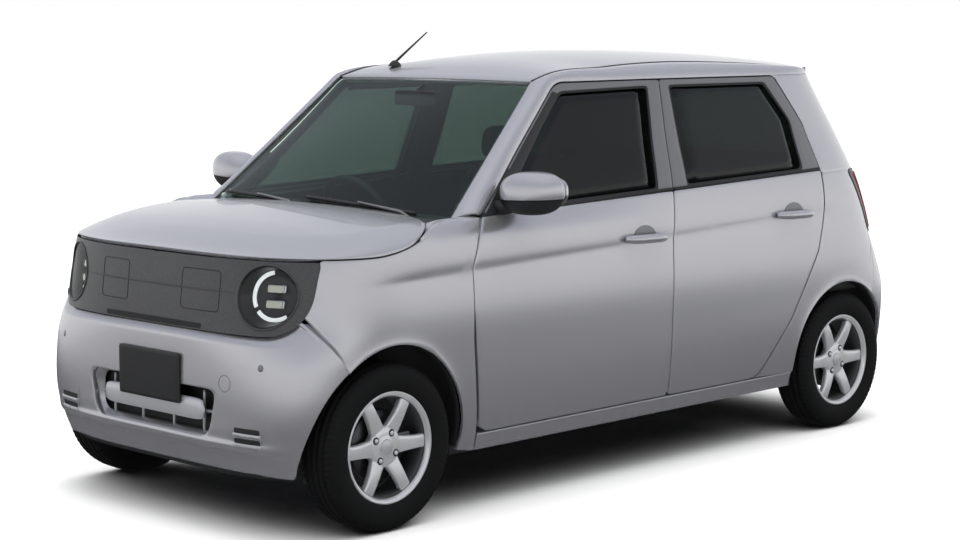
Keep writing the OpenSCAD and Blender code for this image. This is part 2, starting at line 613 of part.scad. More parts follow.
knuckle_z = 178;
module knuckle(s) {
    color("gray") on_side(s) {
        translate([axle_f, track / 2 - 14 - seat_gap, tyre_r]) rotate([90, 0, 0])
            cylinder(r = 52, h = track / 2 - 14 - seat_gap - kingpin_y + 27.8);
        translate([axle_f - 26, kingpin_y - 36, knuckle_z]) cube([52, 34, 210]);
        difference() {
            translate([axle_f - disc_r - 19, track / 2 - 46, tyre_r - 30]) cube([60, 59.5, 60]);
            translate([axle_f - disc_r - 6, track / 2 - 19, tyre_r - 40]) cube([60, 28, 80]);
        }
        translate([axle_f - 80, track / 2 - 46, tyre_r - 20]) cube([50, 24, 40]);
    }
}
module knuckle_left() { knuckle(1); }
module knuckle_right() { knuckle(-1); }
subframe_z = 245;
rail_top_z = 650;
// The struts stand inboard of the knuckles
strut_y = kingpin_y - 134;
module front_suspension() {
    color("dimgray") {
        translate([axle_f - 170, -aside(330), subframe_z - 60]) cube([230, aside(660), 60]);
        both_sides() {
            translate([axle_f - 22, aside(325), knuckle_z - 28]) cube([44, kingpin_y + 13 - aside(325), 28 - seat_gap]);
            translate([axle_f - 22, aside(325), knuckle_z - 28]) cube([44, 30, 50]);
            translate([axle_f, strut_y, knuckle_z - 20]) cylinder(r = 26, h = 260);
            translate([axle_f, strut_y, 400]) cylinder(r = 46, h = rail_top_z - 380);
            translate([axle_f - 60, aside(330), rail_top_z + seat_gap]) cube([120, strut_y + 42 - aside(330), 30]);
        }
    }
}
// Inner face of the rear arms, inboard of the wheels
arm_y = track / 2 - 197.5;
module rear_axle() {
    color("dimgray") {
        translate([axle_r + 180, arm_y + 45, tyre_r - 20]) rotate([90, 0, 0]) cylinder(r = 38, h = 2 * arm_y + 90);
        both_sides() {
            translate([axle_r - 45, arm_y, tyre_r - 40]) cube([260, 50, 70]);
            translate([axle_r, track / 2 - 14 - seat_gap, tyre_r]) rotate([90, 0, 0])
                cylinder(r = 40, h = track / 2 - 14 - seat_gap - arm_y - 33.2);
            translate([axle_r - 70, arm_y + 25, tyre_r + 20]) cylinder(r = 30, h = 222);
        }
    }
}
module drive_unit() {
    color("darkgray") block([1000, -310, subframe_z + seat_gap], [520, 620, 470]);
}
battery_z = 150;
module battery_pack() {
    color("gray") block([-620, -495, battery_z], [1400, 990, floor_z - battery_z]);
}

// Floor, firewall and tail as one bent sheet seen from the side. Columns: x, z
floor_z = 284;
sheet = 24;
rear_floor_z = 520;
// Room between the tyres and the floor
well_gap = 14;
FLOOR = [[960, 948], [960, 420], [840, floor_z], [-640, floor_z], [-700, rear_floor_z], [-1560, rear_floor_z], [-1560, 610]];
module underbody() {
    color("dimgray") difference() {
        floor_pan();
        both_sides() for (x = [axle_f, axle_r]) {
            translate([x, tyre_in_y - well_gap, tyre_r]) rotate([-90, 0, 0]) cylinder(r = tyre_r + well_gap, h = half_w);
        }
    }
}
module floor_pan() {
    union() {
        across(-535, 535) polygon(side_view(concat(FLOOR, [for (i = [len(FLOOR) - 1:-1:0])
            FLOOR[i] + [i < 2 ? -sheet : i > 4 ? sheet : i == 2 ? -10 : 10, i == 0 || i == 6 ? 0 : sheet]])));
        damper_seat = min(aside(440), arm_y - 15);
        both_sides() {
            translate([axle_r - 110, damper_seat, rear_floor_z + 0.2]) cube([80, arm_y + 65 - damper_seat, sheet - 1]);
            block([940, 340, rail_top_z - 90], [680, 40, 90]);
            block([-640, 534, floor_z], [1440, 40, sheet]);
            block([-1560, 534, 520], [860, 24, 80]);
            block([-1560, 500, 560], [60, 60, 60]);
            for (x = jack_x) {
                block([x - jack_w / 2, 500, jack_z], [jack_w, 61.4, floor_z - jack_z + 10]);
            }
        }
        block([1590, -450, 560], [40, 900, 80]);
    }
}
module dashboard() {
    color("black") across(-560, 560)
        polygon(side_view(rounded([[935.5, 890, 10], [905, 955, 20], [560, 960, 60], [500, 860, 60], [620, 640, 40], [935.5, 640, 10]])));
    color("black") at_column() translate([0, 0, -240]) cylinder(r = 30, h = 215);
}
module at_column() {
    translate(placed(wheel_at)) rotate([0, 90 - wheel_tilt, 0]) rotate([0, -90, 0]) children();
}
wheel_at = [455, -320, 905];
wheel_tilt = 66;
module steering_wheel() {
    color("black") at_column() {
        rotate_extrude($fn = 64) translate([170, 0]) circle(r = 15);
        for (a = [0, 130, 230]) {
            rotate(a) translate([0, -20, -9]) cube([170, 40, 14]);
        }
        translate([0, 0, -24]) cylinder(r = 62, h = 36);
    }
}
module seat(y, x, w, base, back) {
    translate([0, aside(y), 0]) {
        across(-w / 2, w / 2) polygon(side_view(rounded([[x, base, 50], [x, base + 120, 60], [x - 470, base + 100, 20],
            [x - 600, back, 30], [x - 710, back, 30], [x - 560, base, 30]])));
    }
}
module front_seats() {
    color("gray") for (s = [-1, 1]) {
        seat(s * 320, 300, 490, floor_z + 120, 1080);
        block([-400, s * 320 - 125, 1080 + seat_gap], [90, 250, 150]);
        block([-100, s * 320 - 200, floor_z + sheet + seat_gap], [360, 400, 100]);
    }
}
module rear_seat() {
    color("gray") seat(0, -600, 1060, 544 + seat_gap, 1090);
}

underbody();
body_side_left();
body_side_right();
roof_panel();
fender_left();
fender_right();
bonnet();
front_bumper();
nose_panel();
headlamps();
lower_grille();
front_plate();
windscreen();
cowl_panel();
wipers();
antenna();
tailgate();
tailgate_glass();
rear_bumper();
tail_lamps();
door_front_left();
door_front_right();
door_rear_left();
door_rear_right();
glass_front_left();
glass_front_right();
glass_rear_left();
glass_rear_right();
mirror_left();
mirror_right();
tyre_front_left();
tyre_front_right();
tyre_rear_left();
tyre_rear_right();
wheel_front_left();
wheel_front_right();
wheel_rear_left();
wheel_rear_right();
knuckle_left();
knuckle_right();
front_suspension();
rear_axle();
drive_unit();
battery_pack();
dashboard();
steering_wheel();
front_seats();
rear_seat();
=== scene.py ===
"""Looks of a kei car: painted panels on one body surface, glass, lamps, alloy wheels and a cloth cabin.
Lengths are in millimetres until a mesh is made; X runs forward, Y to the car's left and Z up."""
import math

import bpy
import numpy as np
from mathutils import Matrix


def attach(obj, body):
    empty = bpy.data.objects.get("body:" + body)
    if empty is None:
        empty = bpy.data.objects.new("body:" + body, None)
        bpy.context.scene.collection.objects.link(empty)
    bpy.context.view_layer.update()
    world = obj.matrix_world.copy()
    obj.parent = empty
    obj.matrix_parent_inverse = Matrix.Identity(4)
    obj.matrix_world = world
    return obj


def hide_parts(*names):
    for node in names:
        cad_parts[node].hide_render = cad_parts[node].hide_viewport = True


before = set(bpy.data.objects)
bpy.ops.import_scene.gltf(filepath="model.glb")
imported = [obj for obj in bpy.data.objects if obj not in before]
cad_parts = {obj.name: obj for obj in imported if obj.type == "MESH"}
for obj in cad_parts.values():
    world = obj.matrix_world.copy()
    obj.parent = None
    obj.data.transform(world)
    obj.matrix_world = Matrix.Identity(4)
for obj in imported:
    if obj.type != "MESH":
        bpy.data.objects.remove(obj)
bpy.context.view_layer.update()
MM = 0.001

# Sizes shared with the solids: ends, half width, crown, axles, front corners and wheels, then the heights of
# sill, skirt, window line, door top, roof rail, bonnet edge and nose, half the bonnet's rear width, B post,
# windscreen's foot and head, the ends of rail and roof, and the top of the tail lamps
NOSE_X = 1697.5
HALF_W = 737.5
ROOF_Z = 1540.0
AXLE_F = 1267.5
AXLE_R = -1252.5
CORNER_F = AXLE_F - 17
TYRE_R = 278.0
TRACK = 1305.0
ARCH_R = 325.0
SILL_Z = 270.0
SKIRT_Z = 206.0
BELT_Z = 1031.0
BELT_RISE = 0.030
DRIP_Z = 1438.0
RAIL_Z = 1443.0
HOOD_Z = 905.0
NOSE_LOW_Z = 660.0
COWL_HALF = 640.0
B_X = -152.0
SCREEN_X = 912.0, 384.0
SCREEN_Y = 628.0, 506.0
SCREEN_Z = 985.0, 1436.0
RAIL_END_X = -1345.0
ROOF_END_X = -1330.0
TAIL_LAMP_TOP = 1052.0

# Body rings. Columns: height, side inset, nose setback, nose squareness, tail setback, tail squareness,
# station where the tail rounds off
RING = np.array([
    [200, 47, 40, 4.5, 45, 4.5, -1200], [290, 22, 9, 4.5, 10, 4.8, -1200],
    [400, 10, 8, 5.0, 0, 5.0, -1200], [560, 4, 11, 4.5, 2, 5.0, -1200],
    [680, 1, 14, 3.4, 14, 4.2, -1150], [780, 3, 22, 3.1, 27, 3.7, -1100],
    [905, 10, 42, 3.0, 32, 3.4, -1020], [1045, 31, 110, 3.0, 42, 3.1, -950],
    [1216, 82, 200, 3.0, 122, 3.0, -910], [1361, 122, 300, 3.0, 217, 2.9, -900],
    [1460, 150, 400, 3.0, 277, 2.85, -900]], float)
SIDE, NOSE, NOSE_N, TAIL, TAIL_N, TAIL_X = range(1, 7)
BONNET = np.array([[880, 1012], [1000, 1018], [1129, 1016], [1354, 990], [1528, 952], [1700, 905]], float)
ROOF = np.array([[-1440, -66], [-1250, -38], [-900, -14], [-450, 0], [-150, -5], [100, -24], [250, -50],
                 [400, -98]], float)


def along(table, v, col):
    """Smooth curve through a table's column: cubic pieces with central slopes."""
    x, y = table[:, 0], table[:, col]
    slope = np.zeros_like(y)
    slope[1:-1] = (y[2:] - y[:-2]) / (x[2:] - x[:-2])
    slope[0] = (y[1] - y[0]) / (x[1] - x[0])
    slope[-1] = (y[-1] - y[-2]) / (x[-1] - x[-2])
    v = np.asarray(v, float)
    i = np.clip(np.searchsorted(x, v, side="right") - 1, 0, len(x) - 2)
    h = x[i + 1] - x[i]
    u = np.clip((v - x[i]) / h, 0, 1)
    return ((2 * u**3 - 3 * u**2 + 1) * y[i] + (u**3 - 2 * u**2 + u) * h * slope[i]
            + (3 * u**2 - 2 * u**3) * y[i + 1] + (u**3 - u**2) * h * slope[i + 1])


def mix(a, b, u):
    """Straight mix of two values."""
    return a + (b - a) * u


def blend(u):
    """Smooth step: flat at 0 and at 1."""
    u = np.clip(u, 0, 1)
    return u * u * (3 - 2 * u)


def power(v, p):
    """Power of a value that keeps its sign."""
    return np.sign(v) * np.abs(v)**p


def belt(x):
    """Height of the window line at a station."""
    return BELT_Z - BELT_RISE * np.asarray(x, float)


def half_at(z):
    """Half width between the corners at a height."""
    return HALF_W - along(RING, z, SIDE)


def end_axes(z, front):
    """Centre station, length, half width and squareness of the rounded front or rear end at a height."""
    if front:
        return CORNER_F, NOSE_X - along(RING, z, NOSE) - CORNER_F, half_at(z), along(RING, z, NOSE_N)
    tx = along(RING, z, TAIL_X)
    return tx, tx + NOSE_X - along(RING, z, TAIL), half_at(z), along(RING, z, TAIL_N)


def crease(x, z):
    """Depth of the pressed line on the doors: a groove that fades fast above the line and slowly below it."""
    dz = z - (857 - 0.0337 * x)
    ends = blend((1430 - x) / 330) * blend((x + 1420) / 300)
    return 6.5 * ends * np.exp(-np.abs(dz) / np.where(dz > 0, 26, 75))


def side_y(x, z):
    """Half width at a station and height: flat, with superellipse corners, less the crease."""
    x, z = np.broadcast_arrays(np.asarray(x, float), np.asarray(z, float))
    fx, fa, b, fn = end_axes(z, True)
    tx, ta, _, tn = end_axes(z, False)
    front = np.clip((x - fx) / fa, 0, 0.9999)
    rear = np.clip((tx - x) / ta, 0, 0.9999)
    return b * (1 - front**fn)**(1 / fn) * (1 - rear**tn)**(1 / tn) - crease(x, z)


def taper(x, z):
    """How far the cabin draws in and back towards the foot and the head of the windscreen."""
    return 36 * blend((x + 250) / 900) * blend((z - 930) / 130) * blend((1180 - x) / 150)


def on_side(x, z, depth=0.0):
    """Point of the body side at a drawn station and height, a depth below the surface."""
    x, z = np.broadcast_arrays(np.asarray(x, float), np.asarray(z, float))
    t = taper(x, z)
    return np.stack(np.broadcast_arrays(x - t, side_y(x, z) - depth - t, z - 0.13 * t), -1)


def end_pt(phi, z, front, depth=0.0):
    """Point of a rounded end, on the superellipse of its height: 0 degrees in the middle, 90 at the side."""
    phi, z = np.broadcast_arrays(np.radians(phi), np.asarray(z, float))
    cx, a, b, n = end_axes(z, front)
    r = ((np.abs(np.cos(phi)) / (a - depth))**n + (np.abs(np.sin(phi)) / (b - depth))**n)**(-1 / n)
    return np.stack([cx + (1 if front else -1) * r * np.cos(phi), r * np.sin(phi), z], -1)


def on_end(y, z, front, depth=0.0):
    """The same surface found from the distance to the middle and the height."""
    y, z = np.broadcast_arrays(np.asarray(y, float), np.asarray(z, float))
    cx, a, b, n = end_axes(z, front)
    reach = (a - depth) * (1 - np.clip(np.abs(y) / (b - depth), 0, 0.9999)**n)**(1 / n)
    return np.stack([cx + (1 if front else -1) * reach, y, z], -1)


def roof_at(x, y):
    """Roof height: the crown's curve along the car, less a drop that grows towards the rails."""
    return ROOF_Z + along(ROOF, x, 1) - (6 + 34 * blend((400 - x) / 420)) * (np.abs(y) / 508)**2.2


# Outlines and loops

def rounded(corners, step=7):
    """Closed outline whose corners are rounded by parabolas. Columns: first, second, radius."""
    c = np.array(corners, float)
    p = c[:, :2]
    u, v = np.roll(p, 1, 0) - p, np.roll(p, -1, 0) - p
    u /= np.linalg.norm(u, axis=1)[:, None]
    v /= np.linalg.norm(v, axis=1)[:, None]
    half = np.arccos(np.clip((u * v).sum(1), -1, 1)) / 2
    reach = (c[:, 2] / np.maximum(0.02, np.tan(half)))[:, None, None]
    t = np.linspace(0, 1, step + 1)[None, :, None]
    q = p[:, None]
    pts = (1 - t)**2 * (q + reach * u[:, None]) + 2 * t * (1 - t) * q + t**2 * (q + reach * v[:, None])
    return pts.reshape(-1, 2)


def circle(n):
    """Even angles round a full turn."""
    return np.linspace(0, 2 * np.pi, n, endpoint=False)


def oblong(y0, y1, z0, z1, low, high=None):
    """Rounded rectangle with one radius for its lower corners and one for its upper ones."""
    high = high or low
    return rounded([[y0, z0, low], [y1, z0, low], [y1, z1, high], [y0, z1, high]])


def dense(loop, n, closed=True):
    """A polyline sampled evenly along its length."""
    p = np.vstack([loop, loop[:1]]) if closed else np.asarray(loop, float)
    s = np.concatenate([[0], np.cumsum(np.linalg.norm(np.diff(p, axis=0), axis=1))])
    t = np.linspace(0, s[-1], n, endpoint=not closed)
    return np.stack([np.interp(t, s, p[:, k]) for k in range(p.shape[1])], -1)


def radius_at(loop, centre, ang):
    """Distance from a centre to a closed outline along each direction."""
    d = dense(loop, 6000) - centre
    a = np.arctan2(d[:, 1], d[:, 0])
    order = np.argsort(a)
    return np.interp(ang, a[order], np.hypot(d[:, 0], d[:, 1])[order], period=2 * np.pi)


def rays(centre, inner, outer, ang, rows):
    """Grid of points on rays from a centre, from an inner to an outer distance."""
    r = mix(inner, outer, np.linspace(0, 1, rows)[:, None])
    return centre[0] + r * np.cos(ang), centre[1] + r * np.sin(ang)


def fill(loop, rows=26, n=300):
    """Outline filled from its middle outwards."""
    c = loop.mean(0)
    ang = np.linspace(-np.pi, np.pi, n, endpoint=False)
    return rays(c, np.full(n, 1.5), radius_at(loop, c, ang), ang, rows)


def strip(outer, inner, rows=10, n=360):
    """Band between two outlines."""
    c = inner.mean(0)
    ang = np.linspace(-np.pi, np.pi, n, endpoint=False)
    return rays(c, radius_at(inner, c, ang), radius_at(outer, c, ang), ang, rows)


# Meshes

def column(a, b, n):
    """Even steps from one value to another, down the rows of a grid."""
    return np.linspace(a, b, n)[:, None]


def row(a, b, n):
    """Even steps along the columns of a grid."""
    return np.linspace(a, b, n)[None]


def mesh_piece(name, verts, faces, body, look):
    """A mesh from vertices in millimetres and faces, riding on a body; a look is a material."""
    me = bpy.data.meshes.new(name)
    me.from_pydata((np.asarray(verts).reshape(-1, 3) * MM).tolist(), [], [list(f) for f in faces])
    me.polygons.foreach_set("use_smooth", np.ones(len(me.polygons), bool))
    me.materials.append(look[0])
    obj = bpy.data.objects.new(name, me)
    bpy.context.scene.collection.objects.link(obj)
    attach(obj, body)
    return obj


def grid_faces(n, m, wrap_rows=False, wrap_cols=False):
    """Four-sided faces of a grid of n rows and m columns, closed along either way."""
    i = np.arange(n if wrap_rows else n - 1)[:, None]
    j = np.arange(m if wrap_cols else m - 1)[None, :]
    i2, j2 = (i + 1) % n, (j + 1) % m
    return np.stack([i * m + j, i2 * m + j, i2 * m + j2, i * m + j2], -1).reshape(-1, 4)


def panel(name, grid, body, look, thick=0.0, wrap=False, edge=2.0, middle=(0, 0, 650), lining=None):
    """A grid of points as a sheet that faces away from a middle point, with wall, round edges and lining."""
    grid = np.asarray(grid, float)
    faces = grid_faces(grid.shape[0], grid.shape[1], False, wrap)
    pts = grid.reshape(-1, 3)
    q = pts[faces]
    normal = np.cross(q[:, 2] - q[:, 0], q[:, 3] - q[:, 1])
    if (normal * (q.mean(1) - np.array(middle, float))).sum() < 0:
        faces = faces[:, ::-1]
    faces = faces.tolist()
    if wrap and np.ptp(grid[0], axis=0).max() < 4:
        ring = list(range(grid.shape[1]))
        faces.append(ring if faces[0][0] == 0 else ring[::-1])
    obj = mesh_piece(name, pts, faces, body, look)
    if thick:
        solid = obj.modifiers.new("wall", "SOLIDIFY")
        solid.thickness = thick * MM
        solid.offset = -1
        if lining:
            obj.data.materials.append(lining[0])
            solid.material_offset = 1
        if edge:
            bevel = obj.modifiers.new("edge", "BEVEL")
            bevel.width = edge * MM
            bevel.segments = 2
            bevel.limit_method = "ANGLE"
            bevel.angle_limit = math.radians(50)
    return obj


MIRROR = np.array([1.0, -1.0, 1.0])
SIDES = (("left", 1.0), ("right", -1.0))


def flip(grid, s):
    """Points of the left side, or the same points mirrored to the right."""
    return grid if s > 0 else grid * MIRROR


def tube(name, path, radius, body, look, n=12, closed=False):
    """Round bar along a path: a circle carried on frames made from the path's tangents and a fixed up."""
    path = np.asarray(path, float)
    tan = np.roll(path, -1, 0) - np.roll(path, 1, 0) if closed else np.gradient(path, axis=0)
    tan /= np.linalg.norm(tan, axis=1)[:, None]
    up = np.where(np.abs(tan[:, 2:3]) > 0.9, [[1.0, 0, 0]], [[0, 0, 1.0]])
    a = np.cross(tan, up)
    a /= np.linalg.norm(a, axis=1)[:, None]
    b = np.cross(tan, a)
    t = circle(n)
    r = np.broadcast_to(np.asarray(radius, float), len(path))[:, None, None]
    pts = path[:, None] + r * (np.cos(t)[None, :, None] * a[:, None] + np.sin(t)[None, :, None] * b[:, None])
    faces = grid_faces(len(path), n, closed, True).tolist()
    if not closed:
        faces += [list(range(n)), list(range((len(path) - 1) * n, len(path) * n))[::-1]]
    return mesh_piece(name, pts, faces, body, look)


def turned(name, profile, centre, axis, body, look, n=96, closed_profile=False):
    """Profile of radius and distance along the axis, turned about a unit axis through a centre."""
    p = np.array(profile, float)
    t = circle(n)
    axis = np.array(axis, float)
    side = np.array([0, 1.0, 0] if axis[2] else [0, 0, 1.0])
    other = np.cross(axis, side)
    ring = np.cos(t)[None, :, None] * side + np.sin(t)[None, :, None] * other
    pts = np.array(centre, float) + p[:, 0, None, None] * ring + p[:, 1, None, None] * axis
    faces = grid_faces(len(p), n, closed_profile, True)
    return mesh_piece(name, pts, faces, body, look)


# Materials

def rgb(code):
    """Linear colour of an sRGB hex code."""
    v = np.array([int(code[i:i + 2], 16) for i in (1, 3, 5)]) / 255
    return tuple(np.where(v <= 0.04045, v / 12.92, ((v + 0.055) / 1.055)**2.4)) + (1.0,)


def node(tree, kind, links=(), sockets=(), **settings):
    """Adds a shader node with its settings, socket values and incoming links, and returns it."""
    n = tree.nodes.new(kind)
    for key, value in settings.items():
        setattr(n, key, value)
    for key, value in dict(sockets).items():
        n.inputs[key].default_value = value
    for key, source in dict(links).items():
        tree.links.new(source, n.inputs[key])
    return n


def blank(name):
    """A material with an output node alone."""
    m = bpy.data.materials.new(name)
    m.use_nodes = True
    m.node_tree.nodes.clear()
    return m, m.node_tree, m.node_tree.nodes.new("ShaderNodeOutputMaterial")


def finish(name, slot, colour, rough, grain_mm=1.0, grain=0.0, tone=0.0, metal=0.0, coat=0.0, extra=()):
    """A principled finish with its slot: noise of a real grain size tilts the surface and shifts its tone."""
    m, t, out = blank(name)
    place = node(t, "ShaderNodeTexCoord")
    noise = node(t, "ShaderNodeTexNoise", {"Vector": place.outputs["Object"]},
                 {"Scale": 1000.0 / grain_mm, "Detail": 3.0})
    dark = tuple(np.array(rgb(colour)[:3]) * (1 - tone)) + (1.0,)
    ramp = node(t, "ShaderNodeMix", {"Factor": noise.outputs["Fac"]}, data_type="RGBA")
    ramp.inputs[6].default_value = dark
    ramp.inputs[7].default_value = rgb(colour)
    bump = node(t, "ShaderNodeBump", {"Height": noise.outputs["Fac"]},
                {"Strength": grain, "Distance": grain_mm * MM * 0.3})
    shader = node(t, "ShaderNodeBsdfPrincipled", {"Base Color": ramp.outputs[2],
                                                  "Normal": bump.outputs["Normal"]},
                  {"Roughness": rough, "Metallic": metal, "Coat Weight": coat, "Coat Roughness": 0.04,
                   **dict(extra)})
    t.links.new(shader.outputs["BSDF"], out.inputs["Surface"])
    return m, slot


def glazing(name, slot, tint, shine):
    """Clear sheet with its slot: tinted straight-through light and a mirror that grows at a flat angle."""
    m, t, out = blank(name)
    facing = node(t, "ShaderNodeLayerWeight", sockets={"Blend": 0.5})
    steep = node(t, "ShaderNodeMath", {0: facing.outputs["Facing"]}, {1: 5.0}, operation="POWER")
    fresnel = node(t, "ShaderNodeMath", {0: steep.outputs[0]}, {1: 0.90 * shine, 2: 0.045 * shine},
                   operation="MULTIPLY_ADD")
    clear = node(t, "ShaderNodeBsdfTransparent", sockets={"Color": rgb(tint)})
    gloss = node(t, "ShaderNodeBsdfGlossy", sockets={"Roughness": 0.0, "Color": (1, 1, 1, 1)})
    both = node(t, "ShaderNodeMixShader", {0: fresnel.outputs[0], 1: clear.outputs[0], 2: gloss.outputs[0]})
    t.links.new(both.outputs[0], out.inputs["Surface"])
    return m, slot


# Silver metallic paint under clear coat, with flakes about half a millimetre across
PAINT = finish("silver_metallic_paint", "body_paint", "#bcbcc1", 0.27, 0.6, 0.012, 0.08, metal=0.78,
               coat=0.6)
# The same paint on the plastic bumpers
PLASTIC_PAINT = PAINT[0], "painted_plastic"
# Tempered glass of the doors and tailgate, and laminated glass of the windscreen, green-grey
GLASS = glazing("tinted_glass", "tinted_glass", "#7b8a84", 0.8)
SCREEN = glazing("laminated_screen_glass", "tinted_glass", "#dde8e1", 0.7)
# Clear polycarbonate lamp covers
LENS = glazing("clear_polycarbonate", "tinted_glass", "#f4f6f6", 0.3)
# Moulded unpainted plastic, fine grained
BLACK = finish("black_moulded_plastic", "black_plastic", "#1c1d1f", 0.5, 1.2, 0.25, 0.2)
GLOSS_BLACK = finish("black_lamp_housing", "black_plastic", "#08090a", 0.32, 2.0, 0.02, 0.1)
# Mid grey film on the pillars and window frames
FRAME = finish("grey_pillar_film", "black_plastic", "#606165", 0.42, 0.8, 0.06, 0.08, coat=0.2)
# Dark grey nose panel with a woven-look grain
NOSE_GREY = finish("dark_nose_panel_plastic", "black_plastic", "#47484a", 0.42, 5.0, 0.3, 0.9, coat=0.2)
# Bright silver painted plastic of the grille
SILVER = finish("silver_painted_plastic", "silver_plastic", "#b9bbbf", 0.34, 0.6, 0.03, 0.08, metal=0.5,
                coat=0.4)
# The same on the caps of the wheels
WHEEL_CAP = SILVER[0], "alloy"
# White light guide of the lamps
LIGHT_RING = finish("white_light_guide", "silver_plastic", "#f6f7f8", 0.3, 1.0, 0.0, 0.03,
                    extra={"Emission Color": (1, 1, 1, 1), "Emission Strength": 0.45})
# Aluminised reflectors
CHROME = finish("aluminised_reflector", "silver_plastic", "#d5d7da", 0.14, 2.0, 0.0, 0.05, metal=1.0)
# Red acrylic rear lamps
RED = finish("red_acrylic_lens", "red_lens", "#8f0d12", 0.12, 3.0, 0.02, 0.2, coat=1.0)
# Vulcanised rubber
RUBBER = finish("tyre_rubber", "tyre", "#0c0d0e", 0.8, 1.5, 0.3, 0.25, extra={"Specular IOR Level": 0.22})
# Machined and lacquered cast alloy
ALLOY = finish("lacquered_cast_alloy", "alloy", "#d8d9db", 0.32, 0.8, 0.03, 0.10, metal=0.6, coat=0.5)
# Painted shade inside the wheel rims: a dark colour for the rims' inner barrels, which lie in shade
BARREL_SHADE = finish("wheel_barrel_painted_shade", "alloy", "#2e2f31", 0.5, 1.0, 0.05, 0.15)
# Turned cast iron of the brake discs
DISC = finish("turned_cast_iron", "alloy", "#5d5e60", 0.4, 0.7, 0.15, 0.2, metal=0.9)
# Dark underbody steel with a rubbery coat
STEEL = finish("coated_chassis_steel", "chassis_steel", "#2a2b2d", 0.6, 2.5, 0.3, 0.25)
# Rough cast aluminium housings
CAST = finish("cast_aluminium", "cast_aluminium", "#8d9093", 0.5, 1.8, 0.35, 0.2, metal=0.8)
# Woven seat cloth
CLOTH = finish("woven_seat_cloth", "seat_fabric", "#6c6c6e", 0.92, 1.1, 0.6, 0.35)
CLOTH_SIDE = finish("plain_seat_cloth", "seat_fabric", "#55565a", 0.9, 0.9, 0.5, 0.25)
# Soft moulded dashboard skin
DASH = finish("moulded_dash_skin", "black_plastic", "#1c1d1f", 0.65, 1.4, 0.4, 0.2)
# Clear moulded optics of the lamp units, faintly warm
OPTIC = finish("moulded_lamp_optic", "silver_plastic", "#cfcdbf", 0.08, 4.0, 0.1, 0.2, metal=0.6, coat=1.0)
# Satin black blank plate
PLATE = finish("satin_black_plate", "black_plastic", "#151618", 0.45, 1.5, 0.04, 0.1)
# Pale knitted headliner
LINER = finish("knitted_headliner", "seat_fabric", "#a9a8a4", 0.95, 1.0, 0.4, 0.15)
# Painted shade: a darker copy of the body paint that stands in for the shade in recesses and gaps
PAINTED_SHADE = finish("shaded_paint", "body_paint", "#77787d", 0.3, 0.6, 0.03, 0.1, metal=0.7, coat=0.6)
# The same painted shade on the bumper
PLASTIC_PAINTED_SHADE = PAINTED_SHADE[0], "painted_plastic"
# Dark moulded trim on the inner faces of doors and pillars
TRIM = finish("dark_moulded_trim", "black_plastic", "#202123", 0.7, 1.4, 0.3, 0.2)
# Black rubber seals
SEAL = finish("rubber_seal", "black_plastic", "#111214", 0.6, 1.0, 0.1, 0.2)

# Looks of the solids; those that a piece of this script replaces aren't shown
BARE = {"dashboard": DASH, "steering_wheel": BLACK, "drive_unit": CAST, "knuckle_left": CAST,
        "knuckle_right": CAST}
for name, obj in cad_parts.items():
    obj.data.materials.clear()
    obj.data.materials.append(BARE.get(name, STEEL)[0])

# Doors

def door_lower(front, g=0.0):
    """Outline of a door below the belt; the rear one can grow by a margin for the quarter beside it."""
    if front:
        return [[853, SILL_Z, 60], [893, 690, 90], [893, 840, 60], [838, belt(838) - 3, 4],
                [B_X - 22, belt(B_X) - 3, 4], [B_X, 800, 100], [B_X + 6, SILL_Z, 16]]
    return [[B_X + 1, SILL_Z - g, 16], [B_X - 5, 800, 100], [B_X - 27, belt(B_X) - 3, 4],
            [-1114 - g, belt(-1114) - 3 + 6 * g, 4], [-1112 - g, 900, 60], [-1060 - g, 740, 70],
            [-900 - g, 490, 120], [-690 - g, SILL_Z - g, 110]]


def door_upper(front):
    """Outline of a door's window frame above the belt."""
    if front:
        return [[836, belt(836), 4], [345, DRIP_Z, 110], [B_X - 70, DRIP_Z, 4], [B_X - 22, belt(B_X), 4]]
    return [[B_X - 27, belt(B_X), 4], [B_X - 75, DRIP_Z, 4], [-928, DRIP_Z, 30], [-1060, 1250, 90],
            [-1112, belt(-1114), 12]]


def window(front, g=0.0):
    """Outline of a door's window opening, drawn in by a margin."""
    if front:
        return [[770 - 2 * g, belt(770) + 6 + g, 14], [336 - g, DRIP_Z - 28 - g, 70],
                [B_X - 2 + g, DRIP_Z - 20 - g, 14], [B_X + 58 + g, belt(-90) + 4 + g, 14]]
    return [[B_X - 110 - g, belt(-260) + 4 + g, 14], [B_X - 120 - g, DRIP_Z - 20 - g, 14],
            [-866 + g, DRIP_Z - 20 - g, 36], [-985 + g, 1262, 60], [-1000 + g, belt(-1000) + 4 + g, 26]]


